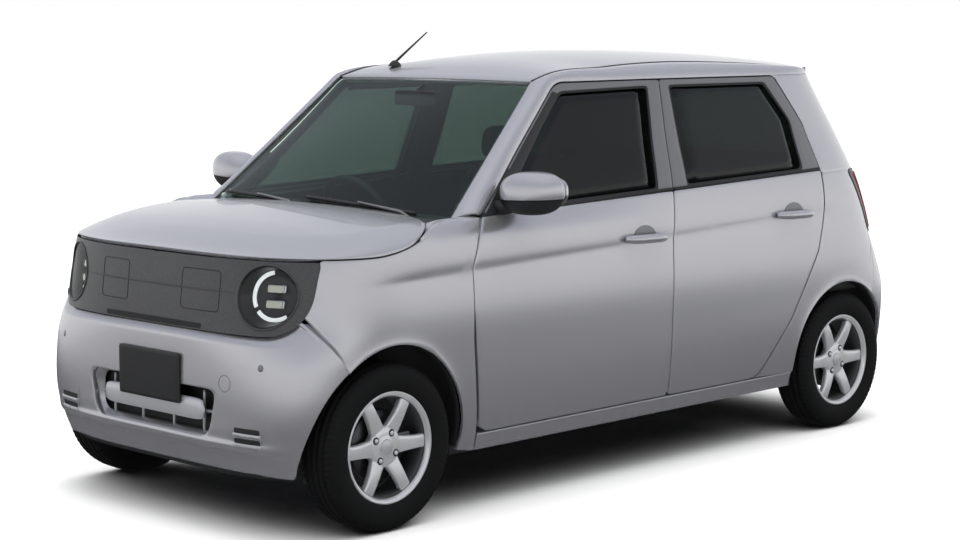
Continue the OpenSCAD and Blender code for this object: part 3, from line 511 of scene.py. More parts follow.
def door(front, side, s):
    """Door skin on the side surface below the belt, with window frame, seals, pane and handle."""
    where = "front" if front else "rear"
    body = f"door_{where}_{side}"
    x, z = fill(rounded(door_lower(front)), 26, 240)
    skin = panel(f"{body}_skin", flip(on_side(x, z), s), body, PAINT, 40, True, 3, lining=TRIM)
    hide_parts(body)
    x, z = strip(rounded(door_upper(front)), rounded(window(front)), 4, 300)
    panel(f"{body}_frame", flip(on_side(x, z, 2.0), s), body, FRAME, 22, True, 2, lining=TRIM)
    if front:
        x, z = np.stack([dense([[826, belt(826) + 3], [368, 1411]], 60, False),
                         dense([[745, belt(745) + 3], [340, 1402]], 60, False)]).transpose(2, 0, 1)
        panel(f"{body}_leg_trim", flip(on_side(x, z, 0.8), s), body, BLACK, 4, False, 1)
    x, z = strip(rounded(window(front, -3)), rounded(window(front, 9)), 3, 300)
    panel(f"{body}_seal", flip(on_side(x, z, 4.5), s), body, SEAL, 6, True, 1)
    x, z = fill(rounded(window(front, -2)), 5, 120)
    pane = panel(f"glass_{where}_{side}_pane", flip(on_side(x, z, 10), s), body, GLASS, 4, True, 0)
    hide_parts(f"glass_{where}_{side}")
    x = np.linspace(*((832, B_X - 20) if front else (B_X - 30, -1108)), 60)[None]
    z = belt(x) + np.array([-4.0, 1.0, 6.0, 9.0])[:, None]
    panel(f"{body}_belt_seal", flip(on_side(x, z, np.array([0, -2.5, -2.5, 2.0])[:, None]), s), body, SEAL,
          5, False, 1)
    # Handle: a bar over a half-round patch of painted shade, a darker copy of the body paint
    hx, hz = (8, 864) if front else (-903, 892)
    t = np.linspace(0, np.pi, 40)
    r = column(0.02, 1, 12)
    cup = on_side(hx + 66 * r * np.cos(t), hz + 4 + 50 * r * np.sin(t), -1.2)
    panel(f"{body}_handle_cup", flip(cup, s), body, PAINTED_SHADE, 0)
    u = np.linspace(-1, 1, 40)
    bar = np.stack([hx + 4 + 112 * u, side_y(hx + 112 * u, hz + 8) + 6 + 26 * (1 - np.abs(u)**4),
                    hz + 8 + 2 * u], -1)
    tube(f"{body}_handle", flip(bar, s), 17 - 6 * np.abs(u)**5, body, PAINT, 16)


for side, s in SIDES:
    door(True, side, s)
    door(False, side, s)


# Fenders, quarters, sills and rails

def arch_drop(z):
    """Half length of a wheel arch at a height."""
    return np.sqrt(np.maximum(0, ARCH_R**2 - (z - TYRE_R)**2))


def arch_skin(name, centre, outline, a0, a1, s, rise=0.0):
    """Skin between a wheel arch and an outline, on rays from the axle, flared slightly at the arch."""
    ang = np.radians(np.linspace(a0, a1, 190))
    arch = ARCH_R + rise * np.sin(np.linspace(0, np.pi, len(ang)))
    x, z = rays(centre, arch, radius_at(np.array(outline, float), np.array(centre), ang), ang, 34)
    near = np.hypot(x - centre[0], z - centre[1]) - arch
    flare = 3.0 * np.exp(-near / 16)
    return panel(name, flip(on_side(x, z, -flare), s), "body", PAINT, 10, False, 2.5, lining=TRIM)


NOSE_OUT = [[-660, HOOD_Z - 8, 14], [-648, NOSE_LOW_Z, 140], [648, NOSE_LOW_Z, 140], [660, HOOD_Z - 8, 14]]
NOSE_EDGE = rounded(NOSE_OUT, 24)
NOSE_SIDE_Z = np.linspace(HOOD_Z - 10, 712, 60)
NOSE_HALF = NOSE_EDGE[NOSE_EDGE[:, 0] > 0]
NOSE_HALF = NOSE_HALF[np.argsort(NOSE_HALF[:, 1])]
NOSE_SIDE_Y = np.interp(NOSE_SIDE_Z, NOSE_HALF[:, 1], NOSE_HALF[:, 0]) + 2.5
NOSE_SIDE = np.stack([on_end(NOSE_SIDE_Y, NOSE_SIDE_Z, True)[:, 0], NOSE_SIDE_Z], -1)
SEAM_TOP = NOSE_SIDE[-1]
SEAM_LOW = np.array([1448.0, 548.0])


def bonnet_rim():
    """Edge of the bonnet from the right pillar's foot round the nose to the left one, by a running mean."""
    phi = np.linspace(-90, 90, 121)
    rim = end_pt(phi, HOOD_Z + 6 * np.cos(np.radians(phi)), True)
    side = np.array([[1112, float(side_y(1112, 950)), 951], [1036, 641, float(along(BONNET, 1036, 1)) - 27]])
    side = dense(np.vstack([rim[-1:], side]), 60, closed=False)[1:]
    rim = np.vstack([side[::-1] * MIRROR, rim, side])
    rim = np.pad(dense(rim, 241, closed=False), ((10, 10), (0, 0)), mode="reflect", reflect_type="odd")
    return np.stack([np.convolve(rim[:, k], np.full(21, 1 / 21), "valid") for k in range(3)], -1)


def bonnet_foot(u):
    """Rear edge of the bonnet across the car, bowed forward in the middle and at its ends."""
    return np.stack([945 + 55 * (1 - u**2) + 90 * np.abs(u)**6, COWL_HALF * u], -1)


def bonnet_top(x, y):
    """Height of the bonnet's crown: its curve along the car, less a drop towards the sides."""
    return along(BONNET, x, 1) - 26 * (np.abs(y) / COWL_HALF)**2


def bonnet_grid():
    """Bonnet: columns run from the rim to the windscreen's foot and rise on a quarter round to the crown."""
    rim = bonnet_rim()[::2]
    u = np.linspace(-1, 1, len(rim))
    foot = bonnet_foot(u)
    t = (np.linspace(0, 1, 46)**1.7)[:, None]
    x, y = mix(rim[:, 0], foot[:, 0], t), mix(rim[:, 1], foot[:, 1], t)
    run = np.hypot(foot[:, 0] - rim[:, 0], foot[:, 1] - rim[:, 1]) * t
    rise = np.sqrt(1 - (1 - np.minimum(1, run / 190))**2)
    return np.stack([x, y, mix(rim[:, 2], np.maximum(rim[:, 2], bonnet_top(x, y)), rise)], -1)


def gate_y(z):
    """Distance of the tailgate's shut line from the middle, at a height."""
    return np.interp(z, [640, 1010, 1520], [545, 585, 480]) + 5


LAMP_EDGE_Z = np.array([TAIL_LAMP_TOP, 1000, 920, 850, 790.0])
LAMP_EDGE_Y = np.interp(LAMP_EDGE_Z, [790, TAIL_LAMP_TOP], [669, 655.0])
LAMP_EDGE = np.stack([on_end(LAMP_EDGE_Y, LAMP_EDGE_Z, False)[:, 0], LAMP_EDGE_Z], -1)
DOOR_EDGE = rounded(door_lower(False, 5.0))
DOOR_EDGE = DOOR_EDGE[(DOOR_EDGE[:, 0] < -680) & (DOOR_EDGE[:, 1] < TAIL_LAMP_TOP)]
DOOR_EDGE = DOOR_EDGE[np.argsort(DOOR_EDGE[:, 1])]
RIM = bonnet_rim()
RIM = RIM[(RIM[:, 1] > 0) & (RIM[:, 0] < NOSE_SIDE[0, 0] - 6)]
RIM = RIM[np.argsort(RIM[:, 0])]
CORNER = RIM[RIM[:, 0] < 1134] + [-3.0, 2.5, -2.0]
RIM = RIM[RIM[:, 0] > 1130]
FENDER = np.vstack([[[862, 208], [898, 600], [898, 840], [846, 1000], [1026, 998]],
                    RIM[:, [0, 2]] - [0, 4.5], NOSE_SIDE, [SEAM_LOW], [[1560, 208]]])
QUARTER = np.vstack([[[-1560, 208], [-935, 208], [-935, 265]], DOOR_EDGE, [[-1121, TAIL_LAMP_TOP]],
                     LAMP_EDGE, [[-1478, 780], [-1462, 562]]])
PILLAR_EDGE = rounded([[-600, 1100, 0.1], [-600, RAIL_Z, 0.1], [-933, RAIL_Z, 30], [-1065, 1250, 90],
                       [-1121, 1046, 0.1]])
PILLAR_EDGE = PILLAR_EDGE[PILLAR_EDGE[:, 0] < -880]
PILLAR_EDGE = PILLAR_EDGE[np.argsort(PILLAR_EDGE[:, 1])]
RAIL = rounded([[847, 1010, 0.1], [350, RAIL_Z, 110], [RAIL_END_X, RAIL_Z, 0.1], [RAIL_END_X, 900, 0.1],
                [847, 900, 0.1]])
RAIL = RAIL[RAIL[:, 1] > 1009]
RAIL = RAIL[np.argsort(-RAIL[:, 0])]


def screen_pt(u, v):
    """Windscreen point: lines from foot to head, bowed forward in the middle and slightly domed."""
    u, v = np.broadcast_arrays(np.asarray(u, float), np.asarray(v, float))
    bulge = 14 * (1 - u**2) * np.sin(np.pi * v)
    x = mix(*SCREEN_X, v) + mix(53, 8, v) * (1 - u**2) + bulge
    z = mix(*SCREEN_Z, v) + mix(10, 6, v) * (1 - u**2) + bulge
    return np.stack([x, mix(*SCREEN_Y, v) * u, z], -1)


def rail_grid():
    """Pillar and roof rail: from the door line, over a rounded edge, to the windscreen or the roof."""
    x, z = dense(RAIL, 150, closed=False).T
    top = np.interp(x, [RAIL_END_X, -1000, 300, 350, 847], [ROOF_END_X, -1000, 300, *SCREEN_X[::-1]])
    low = on_side(x, z)
    up = np.clip((SCREEN_X[0] - top) / (SCREEN_X[0] - SCREEN_X[1]), 0, 1)
    pillar = screen_pt(np.ones(len(x)), up) + [2, 6, 4]
    edge = np.interp(top, [ROOF_END_X, -1240, -1200], [464, 480, 512.0])
    roof = np.stack([top, edge, roof_at(top, edge)], -1)
    high = mix(pillar, roof, blend((390 - x) / 80)[:, None])
    mid = (low + high) / 2 + np.array([5, 15, 15]) * (0.2 + 0.8 * blend((x - ROOF_END_X) / 200))[:, None]
    v = np.linspace(0, 1, 9)[:, None, None]
    return (1 - v) * (1 - 2 * v) * low + 4 * v * (1 - v) * mid + v * (2 * v - 1) * high


for side, s in SIDES:
    fender = arch_skin(f"fender_{side}_skin", (AXLE_F, TYRE_R), FENDER, 55, 190, s, rise=17.0)
    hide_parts(f"fender_{side}")
    # A flange behind the seam of fender and bumper, in the darker copy of the paint: painted shade in the gap
    z = np.linspace(SEAM_LOW[1] + 4, SEAM_TOP[1] - 6, 20)[:, None]
    x = np.interp(z, [SEAM_LOW[1], SEAM_TOP[1]], [SEAM_LOW[0], SEAM_TOP[0]]) + row(-14, 12, 5)
    panel(f"seam_flange_{side}", flip(on_side(x, z, 7), s), "body", PAINTED_SHADE, 3, False, 0)
    arch_skin(f"quarter_{side}_skin", (AXLE_R, TYRE_R), QUARTER, -2, 126.5, s)
    z = column(1050, RAIL_Z, 30)
    x = mix(np.interp(z, PILLAR_EDGE[:, 1], PILLAR_EDGE[:, 0]), on_end(gate_y(z), z, False)[..., 0],
            row(0, 1, 36)**0.8)
    panel(f"rear_pillar_{side}_skin", flip(on_side(x, z), s), "body", PAINT, 12, False, 2.5, lining=TRIM)
    z = column(SKIRT_Z, SILL_Z - 5, 10)
    x = mix(AXLE_R + arch_drop(z) + 1, 856, row(0, 1, 120))
    panel(f"sill_{side}_skin", flip(on_side(x, z), s), "body", PAINT, 20, False, 3)
    rail = panel(f"rail_{side}_skin", flip(rail_grid(), s), "body", PAINT, 10, False, 2, lining=TRIM)
    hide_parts(f"body_side_{side}")
    x = row(-1175, 378, 120)
    y = np.array([502.0, 506, 512, 516])[:, None]
    z = roof_at(x, y) + np.array([1.0, 2.4, 2.4, 1.0])[:, None]
    panel(f"roof_ditch_{side}", flip(np.stack(np.broadcast_arrays(x, y, z), -1), s), "body", SEAL, 3,
          False, 0)
    x, z = row(330, -1190, 60), column(1390, 1452, 5)
    panel(f"cant_rail_{side}", flip(on_side(x, z, 32), s), "body", TRIM, 4, False, 0)
    z = column(640, 1430, 40)
    y = gate_y(z) + row(-60, 40, 6)
    panel(f"gate_surround_{side}", flip(on_end(y, z, False, 36), s), "body", TRIM, 4, False, 0)
    z = column(300, 1440, 40)
    x = np.interp(z, [300, 800, 1000, 1440], [-149, -154, -175, -225]) + row(-60, 60, 5)
    panel(f"centre_pillar_{side}", flip(on_side(x, z, 34), s), "body", BLACK, 30, False, 2)

# Shoulder between the fender's top, the bonnet's corner and the pillar's foot
shoulder_top = np.vstack([dense([[908, 632, 990], CORNER[0]], 20, False)[:-1], dense(CORNER, 40, False)])
x = np.linspace(848, RIM[0, 0], len(shoulder_top))
shoulder_foot = on_side(x, np.interp(x, [846, 1026, RIM[0, 0]], [999, 997, RIM[0, 2] - 5]))
for side, s in SIDES:
    t = np.linspace(0, 1, 12)[:, None, None]
    shoulder = mix(shoulder_foot, shoulder_top, t) + np.array([0, 3.0, 10.0]) * np.sin(np.pi * t)
    panel(f"fender_{side}_shoulder", flip(shoulder, s), "body", PAINT, 6, False, 1.5)

# Roof, bowed forward at its front edge
u, v = row(-1, 1, 41), column(0, 1, 50)
x = mix(378.4, -1220, v) + 8 * (1 - u**2) * (1 - v)
y = 505 * u + 0 * x
roof = panel("roof_skin", np.stack([x, y, roof_at(x, y)], -1), "body", PAINT, 14, False, 2)
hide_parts("roof_panel")

# Bonnet
bonnet = panel("bonnet_skin", bonnet_grid(), "bonnet", PAINT, 12, False, 3)
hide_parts("bonnet")

# Front bumper and nose

BUMPER_RUN = 1000.0
BUMPER_FOCUS = 440.0
WRAP = math.degrees(math.atan(BUMPER_RUN / BUMPER_FOCUS))


def arch_x(z):
    """Station of the front arch's front edge at a height."""
    return AXLE_F + arch_drop(z)


def bumper_pt(a, z, depth=0.0):
    """Bumper surface by its run: 0 in the middle, the full run at the arch, denser towards the middle."""
    return end_pt(np.degrees(np.arctan(a / BUMPER_FOCUS)) / WRAP * bumper_edge(z), z, True, depth)


def bumper_edge(z):
    """Angle of the bumper's rear edge: the arch, then the seam with the fender."""
    edge_x = np.where(z < SEAM_LOW[1], arch_x(z) + 1.5,
                      np.interp(z, [SEAM_LOW[1], SEAM_TOP[1]], [SEAM_LOW[0] + 2.5, SEAM_TOP[0] + 2.5]))
    return np.degrees(np.arctan2(side_y(edge_x, z), edge_x - CORNER_F))


lid = dense(NOSE_HALF[NOSE_HALF[:, 1] < 716], 120, closed=False)
lid = lid[np.argsort(lid[:, 0])] - [0, 4]
lid_x = on_end(lid[:, 0], lid[:, 1], True)[:, 0]
share = np.degrees(np.arctan2(lid[:, 0], lid_x - CORNER_F)) / bumper_edge(lid[:, 1])
TOP = np.stack([BUMPER_FOCUS * np.tan(np.radians(share * WRAP)), lid[:, 1]], -1)
BUMPER = np.vstack([TOP, [[BUMPER_RUN, 710], [BUMPER_RUN, SKIRT_Z], [-BUMPER_RUN, SKIRT_Z],
                          [-BUMPER_RUN, 710]], TOP[::-1] * [-1, 1]])
a, z = strip(BUMPER, oblong(-335, 335, 314, 474, 60, 50), 44, 460)
# The bumper steps back under the nose panel, and its chin tucks in under a low ridge
ledge = 14 * blend((z - np.interp(np.abs(a), TOP[:, 0], TOP[:, 1]) + 34) / 34)**2 * (np.abs(a) < 960)
chin = 15 * blend((286 - z) / 16) - 5 * np.exp(-((z - 300) / 14)**2)
chin *= blend((985 - np.abs(a)) / 330)
bumper = panel("front_bumper_skin", bumper_pt(a, z, ledge + chin), "body", PLASTIC_PAINT, 16, True, 3)
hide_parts("front_bumper")
LAMP_Y, LAMP_Z, LAMP_R = 515.0, 784.0, 100.0


def lamp_circle(r, t):
    """Distances from the middle and heights round a lamp's centre."""
    return LAMP_Y + r * np.cos(t), LAMP_Z + r * np.sin(t)


lamp_hole = np.stack(lamp_circle(LAMP_R + 1, circle(180)), -1)
half_nose = np.stack([np.maximum(NOSE_EDGE[:, 0], 0), NOSE_EDGE[:, 1]], -1)
for side, s in SIDES:
    y, z = strip(half_nose, lamp_hole, 18, 480)
    nose = panel(f"nose_panel_{side}_skin", flip(on_end(y, z, True, 4), s), "body", NOSE_GREY, 0, True)
    if s > 0:
        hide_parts("nose_panel")

# Windscreen, cowl and tailgate
u, v = row(-1, 1, 61), column(0, 1, 41)
screen = panel("windscreen_pane", screen_pt(u, v), "body", SCREEN, 5, False, 0)
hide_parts("windscreen")
x, y = bonnet_foot(u[0]).T
foot = np.stack([x - 6, y, bonnet_top(x, y) - 18], -1)
t = np.linspace(0, 1, 8)[:, None, None]
cowl = panel("cowl_skin", mix(foot[None], screen_pt(u, np.zeros_like(u)) + [[0, 0, 1.0]], t), "body", BLACK,
             6, False, 1, (900, 0, 500))
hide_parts("cowl_panel")
GATE = [[-545, 640, 60], [545, 640, 60], [585, 1010, 40], [497, 1440, 10], [-497, 1440, 10],
        [-585, 1010, 40]]


def gate_window(g=0.0):
    """Outline of the tailgate's window, drawn in by a margin."""
    return [[-480 + g, 1090 + g, 60], [480 - g, 1090 + g, 60], [420 - g, 1395 - g, 60],
            [-420 + g, 1395 - g, 60]]


y, z = strip(rounded(GATE), rounded(gate_window()), 24, 300)
gate = panel("tailgate_skin", on_end(y, z, False), "tailgate", PAINT, 20, True, 3)
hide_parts("tailgate")
y, z = fill(rounded(gate_window(-3)), 6, 120)
pane = panel("tailgate_pane", on_end(y, z, False, 4), "tailgate", GLASS, 4, True, 0)
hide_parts("tailgate_glass")
x, u = column(-1227, -1412, 24), row(-1, 1, 51)
y = (470 - 0.15 * (-1225 - x)) * u
x = x + 46 * np.abs(u)**4 * (-1227 - x) / 185
spoiler = np.stack([x - 18 * (1 - u**2) * (-1227 - x) / 198, y, roof_at(x, y)], -1)
panel("roof_spoiler", spoiler, "tailgate", PAINT, 26, False, 5)
u, v = row(-1, 1, 131), column(0, 1, 28)
z = mix(SKIRT_Z, 634 + 136 * blend((np.abs(u) - 0.58) / 0.12), v)
rear_x = np.where(z < 560, AXLE_R - arch_drop(z), np.interp(z, [560, 775], [-1462, -1480]))
edge = np.degrees(np.arctan2(side_y(rear_x, z), along(RING, z, TAIL_X) - rear_x))
rear = panel("rear_bumper_skin", end_pt(u * edge, z, False), "body", PLASTIC_PAINT, 16, False, 3)
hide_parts("rear_bumper")
for side, s in SIDES:
    y, z = fill(rounded([[586, 784, 26], [686, 784, 26], [668, TAIL_LAMP_TOP, 24],
                         [591, TAIL_LAMP_TOP, 24]]), 8, 100)
    panel(f"tail_lamp_{side}_housing", flip(on_end(y, z, False, -3), s), "body", GLOSS_BLACK, 22, True, 4)
    y, z = fill(rounded([[594, 796, 22], [660, 796, 22], [645, 1040, 20], [600, 1040, 20]]), 8, 100)
    lamp = panel(f"tail_lamp_{side}", flip(on_end(y, z, False, -8), s), "body", RED, 20, True, 4)
    if s > 0:
        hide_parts("tail_lamps")

# Nose details
for side, s in SIDES:
    t = circle(120)[None]
    v = np.array([[101, 3], [97, 10], [91, 30], [86, 46], [84, 49], [50, 50], [1, 50]], float)
    cup = on_end(*lamp_circle(v[:, :1], t), True, v[:, 1:])
    cup = panel(f"headlamp_{side}_housing", flip(cup, s), "body", GLOSS_BLACK, 3, True, 0,
                (2400, LAMP_Y * s, LAMP_Z))
    if s > 0:
        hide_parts("headlamps")
    bezel = on_end(*lamp_circle(LAMP_R + 2, t[0]), True, 3)
    tube(f"headlamp_{side}_bezel", flip(bezel, s), 3.2, "body", NOSE_GREY, 10, True)
    r = column(69, 82, 6)
    for k, arc in enumerate(((100, 131), (132, 210), (222, 303))):
        light = on_end(*lamp_circle(r, np.radians(np.linspace(*arc, 80))), True, 42)
        panel(f"headlamp_{side}_light_{k}", flip(light, s), "body", LIGHT_RING, 6, False, 1.5)
    for k, z0 in enumerate((24, -25)):
        box = oblong(-30, 30, -13, 13, 4)
        y, z = fill(box, 6, 60)
        panel(f"headlamp_{side}_unit_{k}", flip(on_end(LAMP_Y + 8 + y, LAMP_Z + z0 + z, True, 34), s),
              "body", CHROME, 12, True, 1.5)
        y, z = fill(box * 0.86, 6, 60)
        panel(f"headlamp_{side}_optic_{k}", flip(on_end(LAMP_Y + 8 + y, LAMP_Z + z0 + z, True, 31), s),
              "body", OPTIC, 3, True, 1)
    y, z = lamp_circle(column(1, LAMP_R - 1, 14), t)
    panel(f"headlamp_{side}_cover", flip(on_end(y, z, True, 5), s), "body", LENS, 2.5, True, 0)
    # Bumper corner: park sensor, louvre and its two slits
    # The park sensor is a disc of painted shade, the darker copy of the paint
    a = column(0.2, 11, 5)
    y, z = 538 + a * np.cos(t), 564 + a * np.sin(t)
    panel(f"sensor_{side}", flip(on_end(y, z, True, -1.2 * (1 - (a / 11)**4)), s), "body", PLASTIC_PAINTED_SHADE, 0,
          True)
    y, z = fill(oblong(418, 552, 292, 392, 10, 12), 10, 120)
    panel(f"louvre_{side}", flip(on_end(y, z, True, -0.8), s), "body", PLASTIC_PAINT, 0, True)
    for k, z0 in enumerate((322, 356)):
        y, z = fill(oblong(432, 540, z0 - 8, z0 + 9, 5), 5, 80)
        panel(f"louvre_{side}_slit_{k}", flip(on_end(y, z, True, -1.6), s), "body", BLACK, 0, True)
        fin = on_end(np.linspace(430, 542, 20), np.full(20, z0 - 12.0), True, -2.5)
        tube(f"louvre_{side}_fin_{k}", flip(fin, s), 4.5, "body", SILVER, 10)

for k, (y0, half) in enumerate(((-216, 76), (243, 92))):
    flap = dense(oblong(y0 - half, y0 + half, 724, 856, 16), 160)
    tube(f"charge_flap_seam_{k}", on_end(flap[:, 0], flap[:, 1], True, 4), 1.3, "body", SEAL, 6, True)
panel("nose_slot", on_end(*fill(oblong(-258, 258, 664, 682, 7), 8, 200), True, 2.4), "body", SEAL, 0, True)
bar = on_end(np.linspace(-400, 400, 60), np.full(60, 792.0), True, 4.5)
tube("nose_rib", bar, 3.0 - 2.2 * np.abs(np.linspace(-1, 1, 60))**6, "body", NOSE_GREY, 8)
# Ring round the tow hook cover in the darker copy of the paint: painted shade in its seam
t = circle(80)
tow = on_end(385 + 27 * np.cos(t), 500 + 27 * np.sin(t), True, 0)
tube("tow_cover_seam", tow, 1.1, "body", PLASTIC_PAINTED_SHADE, 6, True)

# Lower grille: dark well, lattice, silver bar and blank plate
y, z = fill(oblong(-342, 342, 308, 480, 60, 50), 8, 160)
well = panel("grille_well", on_end(y, z, True, 52), "body", SEAL, 6, True, 0)
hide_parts("lower_grille")
y, z = strip(oblong(-337, 337, 312, 476, 60, 50), oblong(-312, 312, 328, 462, 48, 38), 4, 160)
panel("grille_frame", on_end(y, z, True, column(38, 12, 4)), "body", PLASTIC_PAINT, 4, True, 1)
for k, y0 in enumerate((-245, -85, 85, 245)):
    post = on_end(np.full(12, float(y0)), np.linspace(324, 458, 12), True, 34)
    tube(f"grille_post_{k}", post, 5.0, "body", SILVER, 10)
rung = on_end(np.linspace(-308, 308, 40), np.full(40, 392.0), True, 34)
tube("grille_rung", rung, 5.0, "body", SILVER, 10)
u, t = column(-1, 1, 60), circle(32)[None]
end = (1 - np.abs(u)**14)**0.25
depth, z = 14 - 12 * end * np.cos(t), 398 + 36 * end * power(np.sin(t), 0.7)
bar = on_end(272 * u + 0 * t, z, True, depth)
panel("grille_bar", bar, "body", SILVER, 0, True, 0, (1684, 0, 398))
y, z = fill(oblong(-165, 165, 408, 573, 8), 8, 160)
plate = np.stack([np.full(y.shape, NOSE_X - 0.5), y, z], -1)
plate = panel("blank_plate", plate, "body", PLATE, 8, True, 1.5)
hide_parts("front_plate")
u, v = row(-1, 1, 120), column(0, 1, 6)
z = 214 - 16 * v + 0 * u
lip = end_pt(u * 62, np.maximum(z, 200), True, 16 + 6 * v)
lip[..., 2] = z - 8 * (1 - np.abs(u)**8)
panel("front_lip", lip, "body", BLACK, 10, False, 2)

# Mirrors, sails and wipers. A mirror pod is a superellipsoid whose lower part is black
POD_X, POD_Y, POD_Z = 672.0, 790.0, 1080.0
POD_CUT = 18
for side, s in SIDES:
    door_body = f"door_front_{side}"
    middle = (POD_X, POD_Y * s, POD_Z)
    a = column(-np.pi / 2, np.pi / 2, 40)
    b = circle(64)[None]
    fx = power(np.cos(a), 0.75) * power(np.cos(b), 0.8)
    fy = power(np.cos(a), 0.75) * power(np.sin(b), 0.8)
    fz = power(np.sin(a), 0.85) + 0 * b
    pod = np.stack([POD_X + np.where(fx < 0, 72, 84) * fx - 12 * fy, POD_Y + (112 + 6 * fz) * fy,
                    POD_Z + 74 * fz - 4 * (1 - fy)], -1)
    shell = panel(f"mirror_{side}_shell", flip(pod[POD_CUT - 2:], s), door_body, PAINT, 0, True, 0, middle)
    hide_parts(f"mirror_{side}")
    panel(f"mirror_{side}_under", flip(pod[:POD_CUT], s), door_body, BLACK, 0, True, 0, middle)
    t = circle(60)[None]
    r = column(0.01, 1, 6)
    y, z = POD_Y + 2 + 86 * r * power(np.cos(t), 0.7), POD_Z + 50 * r * power(np.sin(t), 0.7)
    glass = np.stack([599 - 10 * (y - POD_Y) / 112, y, z], -1)
    panel(f"mirror_{side}_glass", flip(glass, s), door_body, CHROME, 3, True, 0, (870, POD_Y * s, POD_Z))
    arm = [[722, 656, 1026], [722, 690, 1027], [708, 722, 1034], [692, 750, 1046]]
    tube(f"mirror_{side}_arm", flip(dense(arm, 16, False), s), np.linspace(24, 19, 16), door_body, BLACK, 16)
    x, z = fill(rounded([[822, 1011, 6], [700, 1017, 6], [612, 1118, 6], [672, 1160, 6]]), 8, 120)
    panel(f"sail_{side}", flip(on_side(x, z, 0.6), s), door_body, BLACK, 3, True, 1)

for k, (y0, length) in enumerate(((500.0, 560.0), (-70.0, 500.0))):
    start = y0 / COWL_HALF
    u = np.linspace(y0, y0 - length, 24) / COWL_HALF
    v = np.linspace(0.015, 0.055, 24)
    blade = screen_pt(u, v) + [9, 0, 9]
    tube(f"wiper_blade_{k}", blade, 7, "body", BLACK, 10)
    arm = np.stack([screen_pt(start - 0.02, -0.01) + [14, 0, 6], screen_pt(start - 0.08, 0.0) + [22, 0, 20],
                    screen_pt(start - 0.42, 0.035) + [17, 0, 19]])
    arm = tube(f"wiper_arm_{k}", dense(arm, 20, False), np.linspace(7, 4, 20), "body", FRAME, 10)
    if k == 0:
        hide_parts("wipers")
foot = np.array([269.0, -318.0, float(roof_at(269.0, 318.0)) + 3])
base = [[25, -2], [25, 3], [17, 14], [9, 20], [0.2, 22]]
base = turned("antenna_base", base, foot, (0, 0, 1), "body", BLACK, 32)
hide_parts("antenna")
rod = foot + np.array([[-2, 0, 14], [-40, 0, 40], [-172, 0, 128.0]])
tube("antenna_rod", dense(rod, 20, False), np.linspace(5.5, 2.6, 20), "body", BLACK, 10)


# Wheels
NOTCHES = 84


def tread_grid(n=4 * NOTCHES):
    """Tyre: a profile of radius and offset turned about the axle, with notches round tread and shoulders."""
    half = np.array([
        [178, 52], [183, 62], [196, 72], [215, 76.5], [236, 77.2], [252, 74], [264, 67.5], [271, 60],
        [274.5, 54], [276, 46], [270, 45], [270, 38], [276.6, 37], [277.3, 18], [271, 17.5], [271, 10],
        [277.5, 9.5], [277.8, 0]], float)
    p = np.vstack([half, half[-2::-1] * [1, -1]])
    t = circle(n)
    wide = np.abs(p[:, 1])
    shoulder = ((wide > 45.5) & (wide < 70) & (p[:, 0] > 255))[:, None]
    tread = ((wide < 37) & (p[:, 0] > 274))[:, None]
    notch = shoulder * 4.0 * (np.cos(NOTCHES * t) > 0.6) + tread * 3.0 * (np.cos(NOTCHES * t + 1) > 0.86)
    r = p[:, :1] - notch
    return np.stack([r * np.cos(t), np.broadcast_to(p[:, 1:], r.shape), r * np.sin(t)], -1)


SPOKES = 6


def spoke_points():
    """One spoke: a rounded section that narrows from the hub to the rim and bows outwards."""
    u = column(0, 1, 14)
    t = circle(28)[None]
    r = mix(48, 174, u) + 0 * t
    half = mix(27, 20, u) + 5 * (1 - u)**4 + 6 * u**8
    across = half * power(np.cos(t), 0.45)
    face = 40 + 14 * np.sin(u * 1.9) - 4 * u**3
    out = face - 13 + 13 * power(np.sin(t), 0.45)
    return np.stack([r, out, across], -1)


